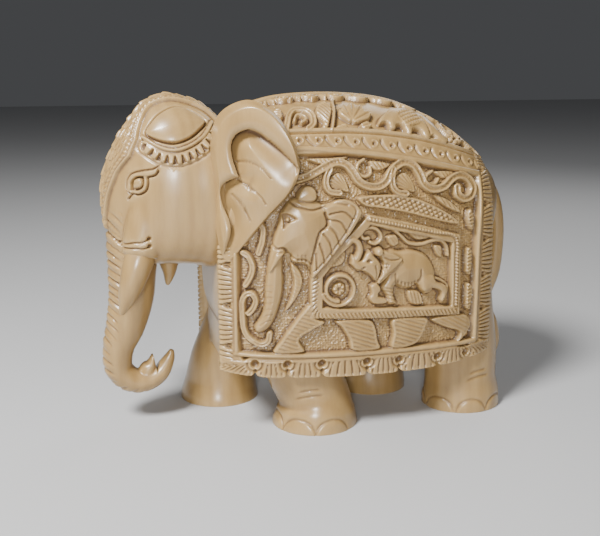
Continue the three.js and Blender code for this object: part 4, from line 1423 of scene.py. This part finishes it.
def forehead_height(y, inner, turn, edge):
    """The broad band down the forehead: a plain rim, dots, and rows of leaves in the middle."""
    row = np.abs(y) - edge * 0.30
    lean = turn / 5.2 - 0.06 * row**2
    scale = lean % 1
    leaves = 0.6 * (1 - scale) ** 0.8 - 0.25 - 0.5 * bump(row, 0.4)
    leaves -= 0.4 * (0.5 + 0.5 * np.cos(2 * math.pi * (row * 0.55 + turn * 0.08)))
    spine = 0.6 * bump(y, 0.8) - 0.6 * bump(np.abs(y) - 1.4, 0.4)
    beads = 0.4 * (0.5 + 0.5 * np.cos(2 * math.pi * turn / 2.1)) - 0.2
    front = 0.9 * smoothstep(inner / 0.8)
    front += 0.7 * bump(inner - 1.1, 0.6) + beads * bump(inner - 3.6, 0.9)
    front -= 0.7 * bump(inner - 2.4, 0.4) + 0.6 * bump(inner - 4.7, 0.4)
    front += (leaves + spine) * smoothstep((inner - 4.9) / 0.5)
    front -= 0.7 * bump(inner + 0.5, 0.5)
    return front


def carve_wrinkles(points, height):
    """Short slanting notches down the front of the trunk that leave its edge lobed."""
    x, y, z = points.T
    share = np.linspace(0, 1, 500)
    table = station_at(TRUNK, share)
    middle = table[:, :3]
    length = np.concatenate([[0], np.cumsum(np.linalg.norm(np.diff(middle, axis=0), axis=1))])
    low = np.flatnonzero((z < 102) & (np.abs(y) < 15) & ~((x > -99) & (z > 80) & (np.abs(y) > 11)))
    gaps = (x[low, None] - middle[:, 0]) ** 2 + (z[low, None] - middle[:, 2]) ** 2
    nearest = gaps.argmin(axis=1)
    ahead = np.gradient(middle, axis=0)[nearest]
    ahead /= np.linalg.norm(ahead, axis=1)[:, None]
    off = points[low] - middle[nearest]
    reach = ahead[:, 2] * off[:, 0] - ahead[:, 0] * off[:, 2]
    if reach[np.argmin(x[low])] < 0:
        reach = -reach
    outward = reach / np.maximum(np.linalg.norm(off, axis=1), 1e-6)
    phase = (length[nearest] + 0.5 * reach) / WRINKLE_PITCH
    count = np.floor(phase)
    saw = phase - count
    strength = (0.7 + 0.3 * np.sin(count * 2.4)) * (0.65 + 0.35 * smoothstep((z[low] - 45) / 30))
    wave = 1.15 * bump(saw - 0.5, 0.16) - 0.35
    extent = 0.30 + 0.12 * np.sin(count * 1.7)
    fade = smoothstep((outward - extent) / 0.4) * smoothstep((102 - z[low]) / 6)
    fade *= smoothstep((length[-1] - length[nearest] - 17) / 8)
    height[low] -= strength * wave * fade


def carve_head(piece):
    """Cuts the headdress, eyes, mouth lines and trunk wrinkles into the fused head."""
    points = to_drawing(read_points(piece))
    normals = read_normals(piece)
    x, y, z = points.T
    side = Relief(x, z)
    carve_headdress(side)
    carve_eye(side)
    for line in MOUTH_LINES:
        side.cut_line(smooth_path(line), 1.0, 0.9)
        side.height -= 1.1 * bowl(np.hypot(x - line[-1][0], z - line[-1][1] - 0.3), 1.1)
    flank = smoothstep((np.abs(normals[:, 1]) - 0.12) / 0.2)
    edge = np.interp(z, [p[1] for p in FOREHEAD_EDGE], [p[0] for p in FOREHEAD_EDGE])
    inner = edge - np.abs(y)
    crown = smoothstep((-50 - x) / 2) * smoothstep((z - 91) / 3)
    turn = np.arctan2(z - 112, -(x + 62)) * 42
    front = forehead_height(y, inner, turn, edge)
    height = side.height * flank * (inner < -0.2) * (x < -50)
    height = np.where(inner > -1.2, np.maximum(front, height) * crown + height * (1 - crown), height)
    carve_wrinkles(points, height)
    write_points(piece, to_frame(points + normals * height[:, None]))


def shape_ear(ball, far):
    """The ear: a broad smooth band in front and over the top, and a fan of folds that dips in behind it."""
    outline = smooth_path(EAR_OUTLINE, 24, True)
    cosine = ball[:, 2]
    turn = np.mod(np.arctan2(ball[:, 1], ball[:, 0]) / (2 * math.pi), 1)
    count = len(outline)
    spot = turn * count
    i = spot.astype(int) % count
    share = (spot - np.floor(spot))[:, None]
    rim = outline[i] * (1 - share) + outline[(i + 1) % count] * share
    reach = np.sqrt(np.clip(1 - cosine**2, 0, 1)) ** 0.8
    x = EAR_CENTRE[0] + (rim[:, 0] - EAR_CENTRE[0]) * reach
    z = EAR_CENTRE[1] + (rim[:, 1] - EAR_CENTRE[1]) * reach
    folds = Relief(x, z)
    fold = np.vstack([smooth_path(EAR_LOWER_FOLD), smooth_path(EAR_UPPER_FOLD)])
    near, away, _, along, total = folds.line(fold, 60)
    distance = np.zeros(x.size)
    distance[near] = away
    way = np.zeros(x.size)
    way[near] = along / total
    at, depth = folds.inside(np.vstack([fold, EAR_BEHIND]), 60)
    inside = np.zeros(x.size, dtype=bool)
    inside[at[depth > 0]] = True
    # The hollow is deepest beside the middle of the folds and runs out towards both ends.
    deep = smoothstep(way / 0.22) * smoothstep((1 - way) / 0.3)
    notch = bump(way - 0.46, 0.05)
    band = 2.9 * (1 - np.exp(-distance / 1.5))
    hollow = -(4.3 * deep * (1 - 0.45 * notch)) * np.exp(-((distance / 4.8) ** 2.2))
    swell = 2.6 * smoothstep(distance / 12) - 0.9
    height = np.where(inside, hollow + swell, np.maximum(band, 0))
    for crease in EAR_CREASES:
        folds.cut_line(smooth_path(crease), 1.1, 0.8, 0.3)
    height = height + np.where(inside, folds.height, 0)
    front = smoothstep(cosine / 0.12)
    leaf = EAR_THICKNESS / 2 * cosine + front * height * smoothstep((1 - reach) / 0.10)
    y = EAR_ROOT[1] + (x - EAR_ROOT[0]) * EAR_FLARE + leaf + EAR_LOBE_SPREAD * smoothstep((104 - z) / 18)
    forward, drop = FAR_EAR_SHIFT if far else (0, 0)
    return np.column_stack([x - forward, y if far else -y, z - drop])


def carve_feet(piece):
    """Toenails and ankle creases round the feet, with fewer toes on the far ones, which the body hides."""
    points = to_drawing(read_points(piece))
    normals = read_normals(piece)
    x, y, z = points.T
    height = np.zeros(x.size)
    for leg, toes, crease_at in zip(LEGS, FOOT_TOES, FOOT_CREASES):
        foot = leg[5]
        side = 1 if foot[1] > 0 else -1
        dx = x - foot[0]
        dy = (y - foot[1]) * side
        near = (np.hypot(dx, dy) < foot[4] + 4) & (z < 34)
        angle = np.degrees(np.arctan2(dy, -dx))
        for toe in toes:
            t = (angle - toe) / 24.5
            top = 6.6 * bowl(t, 1)
            slope = 1 + 1.4 * np.abs(t) ** 3
            gap = np.abs(z - top) / slope
            inside = near & (np.abs(t) < 1)
            height -= np.where(inside, 0.5 * bump(gap, 0.45), 0)
            height += np.where(inside & (z < top), 0.25 * smoothstep((top - z) / 3), 0)
        for level, long in ((17.4, 24), (20.4, 19)):
            turn = angle - crease_at
            crease = level + 0.045 * turn - 0.0015 * turn**2
            fade = smoothstep((long - np.abs(turn)) / 8)
            height -= np.where(near, 0.5 * bump(z - crease, 0.5) * fade, 0)
    write_points(piece, to_frame(points + normals * height[:, None]))


def wood_material():
    """Pale polished wood: fine grain, darker in the cuts from a stain and painted shade, and lighter on
    raised edges and crests.
    """
    colours = bpy.context.scene.elephant_wood
    material = bpy.data.materials.new("Polished carved wood")
    material.use_nodes = True
    nodes = material.node_tree.nodes
    link = material.node_tree.links.new

    def add(kind, inputs, **settings):
        """A node with its settings, and its inputs given as values or as outputs to link."""
        node = nodes.new("ShaderNode" + kind)
        for key, value in settings.items():
            setattr(node, key, value)
        for key, value in inputs.items():
            if isinstance(value, bpy.types.NodeSocket):
                link(value, node.inputs[key])
            else:
                node.inputs[key].default_value = value
        return node

    def mix(share, one, other, **settings):
        """Two colours mixed by a share."""
        node = add("Mix", {"Factor": share, "A": one, "B": other}, data_type="RGBA", **settings)
        return node.outputs["Result"]

    place = add("TexCoord", {}).outputs["Object"]
    stretch = {"Vector": place, "Scale": (1.0, 1.0, 0.16), "Rotation": (0.05, 0.12, 0.0)}
    along = add("Mapping", stretch).outputs["Vector"]
    fibre = add("TexNoise", {"Vector": along, "Scale": 900, "Detail": 5}).outputs["Fac"]
    ring = {"Vector": along, "Scale": 60, "Distortion": 3.5, "Detail": 2, "Detail Scale": 1.2}
    rings = add("TexWave", ring, wave_type="RINGS", rings_direction="Z").outputs["Fac"]
    patches = add("TexNoise", {"Vector": place, "Scale": 28, "Detail": 3}).outputs["Fac"]
    recess_stain_and_shade = add("Attribute", {}, attribute_name="recess_stain_and_shade").outputs["Fac"]
    crest = add("Attribute", {}, attribute_name="crest").outputs["Fac"]

    fine = add("Math", {0: fibre, 1: 0.55}, operation="MULTIPLY").outputs[0]
    grain = add("Math", {0: rings, 1: 0.30, 2: fine}, operation="MULTIPLY_ADD").outputs[0]
    wood = mix(grain, (*colours.wood[:3], 1), (*colours.grain[:3], 1))
    tone = mix(patches, wood, (0.90, 0.86, 0.80, 1), blend_type="MULTIPLY")
    # Painted shade: the cuts are darkened in the colour, partly as the wood's darker stain there and partly
    # as shade painted in.
    cut_stain_and_shade = mix(recess_stain_and_shade, tone, (*colours.recess_stain_and_shade[:3], 1))
    # Lighter colour mixed in on the raised edges and crests, by the crest mask.
    share = add("Math", {0: crest, 1: 0.35}, operation="MULTIPLY").outputs[0]
    crest_tone = mix(share, cut_stain_and_shade, (*colours.crest_tone[:3], 1))
    matt = add("Math", {0: recess_stain_and_shade, 1: 0.4, 2: 0.27}, operation="MULTIPLY_ADD").outputs[0]
    gloss = add("Math", {0: fibre, 1: 0.08, 2: matt}, operation="MULTIPLY_ADD").outputs[0]
    fibres = add("Bump", {"Strength": 0.12, "Distance": 0.0002, "Height": fibre}).outputs["Normal"]

    shader = nodes["Principled BSDF"]
    shader.inputs["Coat Weight"].default_value = 0.45
    shader.inputs["Coat Roughness"].default_value = 0.2
    link(crest_tone, shader.inputs["Base Color"])
    link(gloss, shader.inputs["Roughness"])
    link(fibres, shader.inputs["Normal"])
    return material


def the_wood():
    return bpy.data.materials.get("Polished carved wood") or wood_material()


class ElephantWood(bpy.types.PropertyGroup):
    wood: bpy.props.FloatVectorProperty(
        name="Wood", description="Colour of the polished wood", subtype="COLOR", size=4, min=0, max=1,
        default=(0.40, 0.262, 0.104, 1),
    )
    grain: bpy.props.FloatVectorProperty(
        name="Grain", description="Colour of the darker fibres", subtype="COLOR", size=4, min=0, max=1,
        default=(0.27, 0.162, 0.056, 1),
    )
    # The colour deep in the cuts: a darker stain with painted shade mixed in.
    recess_stain_and_shade: bpy.props.FloatVectorProperty(
        name="Cuts", description="Colour of the wood deep in the carving", subtype="COLOR",
        size=4, min=0, max=1, default=(0.10, 0.048, 0.015, 1),
    )
    # The lighter colour mixed in on raised edges and crests.
    crest_tone: bpy.props.FloatVectorProperty(
        name="Worn edges", description="Colour where the polish has brightened the edges", subtype="COLOR",
        size=4, min=0, max=1, default=(0.56, 0.395, 0.19, 1),
    )


class ElephantCarving(bpy.types.PropertyGroup):
    border_relief: bpy.props.FloatProperty(
        name="Border relief", description="How far borders and stems stand off the cloth's ground",
        default=0.0018, min=0.0005, max=0.004, unit="LENGTH",
    )
    figure_relief: bpy.props.FloatProperty(
        name="Figure relief", description="How far the carved animals stand off the cloth's ground",
        default=0.0030, min=0.0005, max=0.004, unit="LENGTH",
    )


class ElephantStage(bpy.types.PropertyGroup):
    floor: bpy.props.FloatVectorProperty(
        name="Floor", description="Colour of the studio floor", subtype="COLOR", size=4, min=0, max=1,
        default=(0.50, 0.50, 0.50, 1),
    )
    key: bpy.props.FloatProperty(
        name="Key light", description="Strength of the main lamp", default=16.0, min=0, unit="POWER",
    )
    window: bpy.props.FloatProperty(
        name="Window light", description="Strength of the lamp that shows the polish", default=5.5,
        min=0, unit="POWER",
    )
    fill: bpy.props.FloatProperty(
        name="Fill light", description="Strength of the soft lamp behind", default=1.5, min=0, unit="POWER",
    )


class MESH_OT_elephant_body(bpy.types.Operator):
    """Add the body with its legs and tail"""

    bl_idname = "mesh.elephant_body"
    bl_label = "Body, Legs and Tail"

    def execute(self, context):
        barrel = add_form("Barrel", BARREL, 128, 96, **BARREL_SHAPE)
        inside = add_form("Belly", BARREL, 128, 96, grow=SKIRT_INSIDE, drop=HANG, **BARREL_SHAPE)
        cut_at_floor(inside, SKIRT_TOP)
        pieces = [barrel, inside]
        for leg in LEGS:
            pieces.append(add_form("Leg", leg, 96, 96, blunt=9))
        pieces.append(add_form("Tail", TAIL, 48, 160, blunt=8))
        body = fuse(pieces, "body", 0.6, 4)
        carve_feet(body)
        cut_at_floor(body)
        thin_out(body, 150000)
        make_outward(body)
        mark_recesses(body, 14, 0.5)
        finish_piece(body)
        return {"FINISHED"}


class MESH_OT_elephant_head(bpy.types.Operator):
    """Add the head and trunk with the headdress, eyes and wrinkles"""

    bl_idname = "mesh.elephant_head"
    bl_label = "Head and Trunk"

    def execute(self, context):
        pieces = [
            add_form("Skull", HEAD, 128, 128, square=2.2, square_below=3.2, blunt=2.6),
            add_form("Cheek", CHEEK, 64, 64, blunt=7, blunt_start=2),
            add_form("Cheek", CHEEK, 64, 64, -1, blunt=7, blunt_start=2),
            add_form("Trunk", TRUNK, 96, 220, blunt=8),
            add_form("Finger", FINGER, 32, 32, blunt=6),
            add_form("Lip", LIP, 48, 48, blunt=4),
        ]
        head = fuse(pieces, "head", 0.36, 8)
        blend_cheeks(head)
        cut_wedge(head, MOUTH_NOTCH, 20)
        carve_head(head)
        thin_out(head, 195000)
        make_outward(head)
        mark_recesses(head, 12, 0.4)
        finish_piece(head)
        return {"FINISHED"}


class MESH_OT_elephant_tusks(bpy.types.Operator):
    """Add the two tusks"""

    bl_idname = "mesh.elephant_tusks"
    bl_label = "Tusks"

    def execute(self, context):
        for name, side in (("tusk_left", 1), ("tusk_right", -1)):
            tusk = add_form(name, TUSK, 64, 64, side, blunt=4)
            tusk.data.name = name
            mark_recesses(tusk, 8, 2.0)
            finish_piece(tusk)
        return {"FINISHED"}


class MESH_OT_elephant_ears(bpy.types.Operator):
    """Add the ears with their rolled rims and folds"""

    bl_idname = "mesh.elephant_ears"
    bl_label = "Ears"

    def execute(self, context):
        for name, far, around, along in (("ear_left", False, 380, 150), ("ear_right", True, 260, 110)):
            bpy.ops.object.select_all(action="DESELECT")
            bpy.ops.mesh.primitive_uv_sphere_add(segments=around, ring_count=along, radius=1)
            ear = bpy.context.object
            ear.name = name
            ear.data.name = name
            write_points(ear, to_frame(shape_ear(read_points(ear), far)))
            make_outward(ear)
            mark_recesses(ear, 16, 0.6)
            finish_piece(ear)
        return {"FINISHED"}


class MESH_OT_elephant_cloth(bpy.types.Operator):
    """Add the carved sides of the saddle cloth"""

    bl_idname = "mesh.elephant_cloth"
    bl_label = "Cloth Sides"

    def execute(self, context):
        for name, side, columns, rows in (("cloth_left", 1, 320, 300), ("cloth_right", -1, 240, 225)):
            cloth = add_sheet(name, columns, rows, side_place(side))
            mark_recesses(cloth, 10, 0.55)
            finish_piece(cloth)
        return {"FINISHED"}


class MESH_OT_elephant_runner(bpy.types.Operator):
    """Add the carved runner along the back"""

    bl_idname = "mesh.elephant_runner"
    bl_label = "Back Runner"

    def execute(self, context):
        runner = add_sheet("cloth_runner", 280, 190, runner_place)
        mark_recesses(runner, 10, 0.55)
        finish_piece(runner)
        return {"FINISHED"}


def add_lamp(name, place, size, power):
    """A round lamp at a place in metres, aimed at the middle of the elephant."""
    data = bpy.data.lights.new(name, "AREA")
    data.shape = "DISK"
    data.size = size
    data.energy = power
    lamp = bpy.data.objects.new(name, data)
    bpy.context.collection.objects.link(lamp)
    lamp.location = place
    aim = Vector((0, 0, 0.08)) - Vector(place)
    lamp.rotation_euler = aim.to_track_quat("-Z", "Y").to_euler()


class SCENE_OT_elephant_stage(bpy.types.Operator):
    """Add the floor, the lamps and the camera"""

    bl_idname = "scene.elephant_stage"
    bl_label = "Stage"

    def execute(self, context):
        settings = context.scene.elephant_stage
        bpy.ops.object.select_all(action="DESELECT")
        bpy.ops.mesh.primitive_plane_add(size=6)
        floor = bpy.context.object
        floor.name = "floor"
        plain = bpy.data.materials.new("Pale floor")
        plain.use_nodes = True
        shader = plain.node_tree.nodes["Principled BSDF"]
        shader.inputs["Base Color"].default_value = settings.floor
        shader.inputs["Roughness"].default_value = 0.85
        floor.data.materials.append(plain)

        world = bpy.data.worlds.new("Studio")
        context.scene.world = world
        world.use_nodes = True
        back = world.node_tree.nodes["Background"]
        back.inputs["Color"].default_value = (0.78, 0.80, 0.84, 1)
        back.inputs["Strength"].default_value = 0.08

        add_lamp("Key", (-0.46, -0.36, 0.70), 0.24, settings.key)
        add_lamp("Window", (-0.28, -0.88, 0.28), 0.16, settings.window)
        add_lamp("Fill", (0.45, 0.50, 0.60), 0.50, settings.fill)

        data = bpy.data.cameras.new("Camera")
        camera = bpy.data.objects.new("Camera", data)
        context.collection.objects.link(camera)
        data.sensor_width = 36
        data.lens = CAMERA_LENS
        data.clip_start = 0.01
        turn = math.radians(CAMERA_TURN)
        pitch = math.radians(CAMERA_PITCH)
        flat = math.cos(pitch)
        look = Vector((-math.sin(turn) * flat, math.cos(turn) * flat, -math.sin(pitch)))
        camera.location = to_frame(np.array(CAMERA_PLACE))
        camera.rotation_euler = look.to_track_quat("-Z", "Y").to_euler()
        context.scene.camera = camera
        return {"FINISHED"}


class VIEW3D_PT_elephant(bpy.types.Panel):
    """Buttons that build the carved elephant"""

    bl_label = "Carved Elephant"
    bl_idname = "VIEW3D_PT_elephant"
    bl_space_type = "VIEW_3D"
    bl_region_type = "UI"
    bl_category = "Elephant"

    def draw(self, context):
        scene = context.scene
        column = self.layout.column()
        for group in (scene.elephant_wood, scene.elephant_carving, scene.elephant_stage):
            for name in group.__annotations__:
                column.prop(group, name)
        for operator in OPERATORS:
            column.operator(operator.bl_idname)


OPERATORS = [
    MESH_OT_elephant_body,
    MESH_OT_elephant_head,
    MESH_OT_elephant_tusks,
    MESH_OT_elephant_ears,
    MESH_OT_elephant_cloth,
    MESH_OT_elephant_runner,
    SCENE_OT_elephant_stage,
]
GROUPS = [ElephantWood, ElephantCarving, ElephantStage]


def register():
    for each in GROUPS + OPERATORS + [VIEW3D_PT_elephant]:
        bpy.utils.register_class(each)
    bpy.types.Scene.elephant_wood = bpy.props.PointerProperty(type=ElephantWood)
    bpy.types.Scene.elephant_carving = bpy.props.PointerProperty(type=ElephantCarving)
    bpy.types.Scene.elephant_stage = bpy.props.PointerProperty(type=ElephantStage)


def unregister():
    del bpy.types.Scene.elephant_stage
    del bpy.types.Scene.elephant_carving
    del bpy.types.Scene.elephant_wood
    for each in reversed(GROUPS + OPERATORS + [VIEW3D_PT_elephant]):
        bpy.utils.unregister_class(each)


def main():
    register()
    bpy.ops.mesh.elephant_body()
    bpy.ops.mesh.elephant_head()
    bpy.ops.mesh.elephant_tusks()
    bpy.ops.mesh.elephant_ears()
    bpy.ops.mesh.elephant_cloth()
    bpy.ops.mesh.elephant_runner()
    bpy.ops.scene.elephant_stage()


if __name__ == "__main__":
    main()
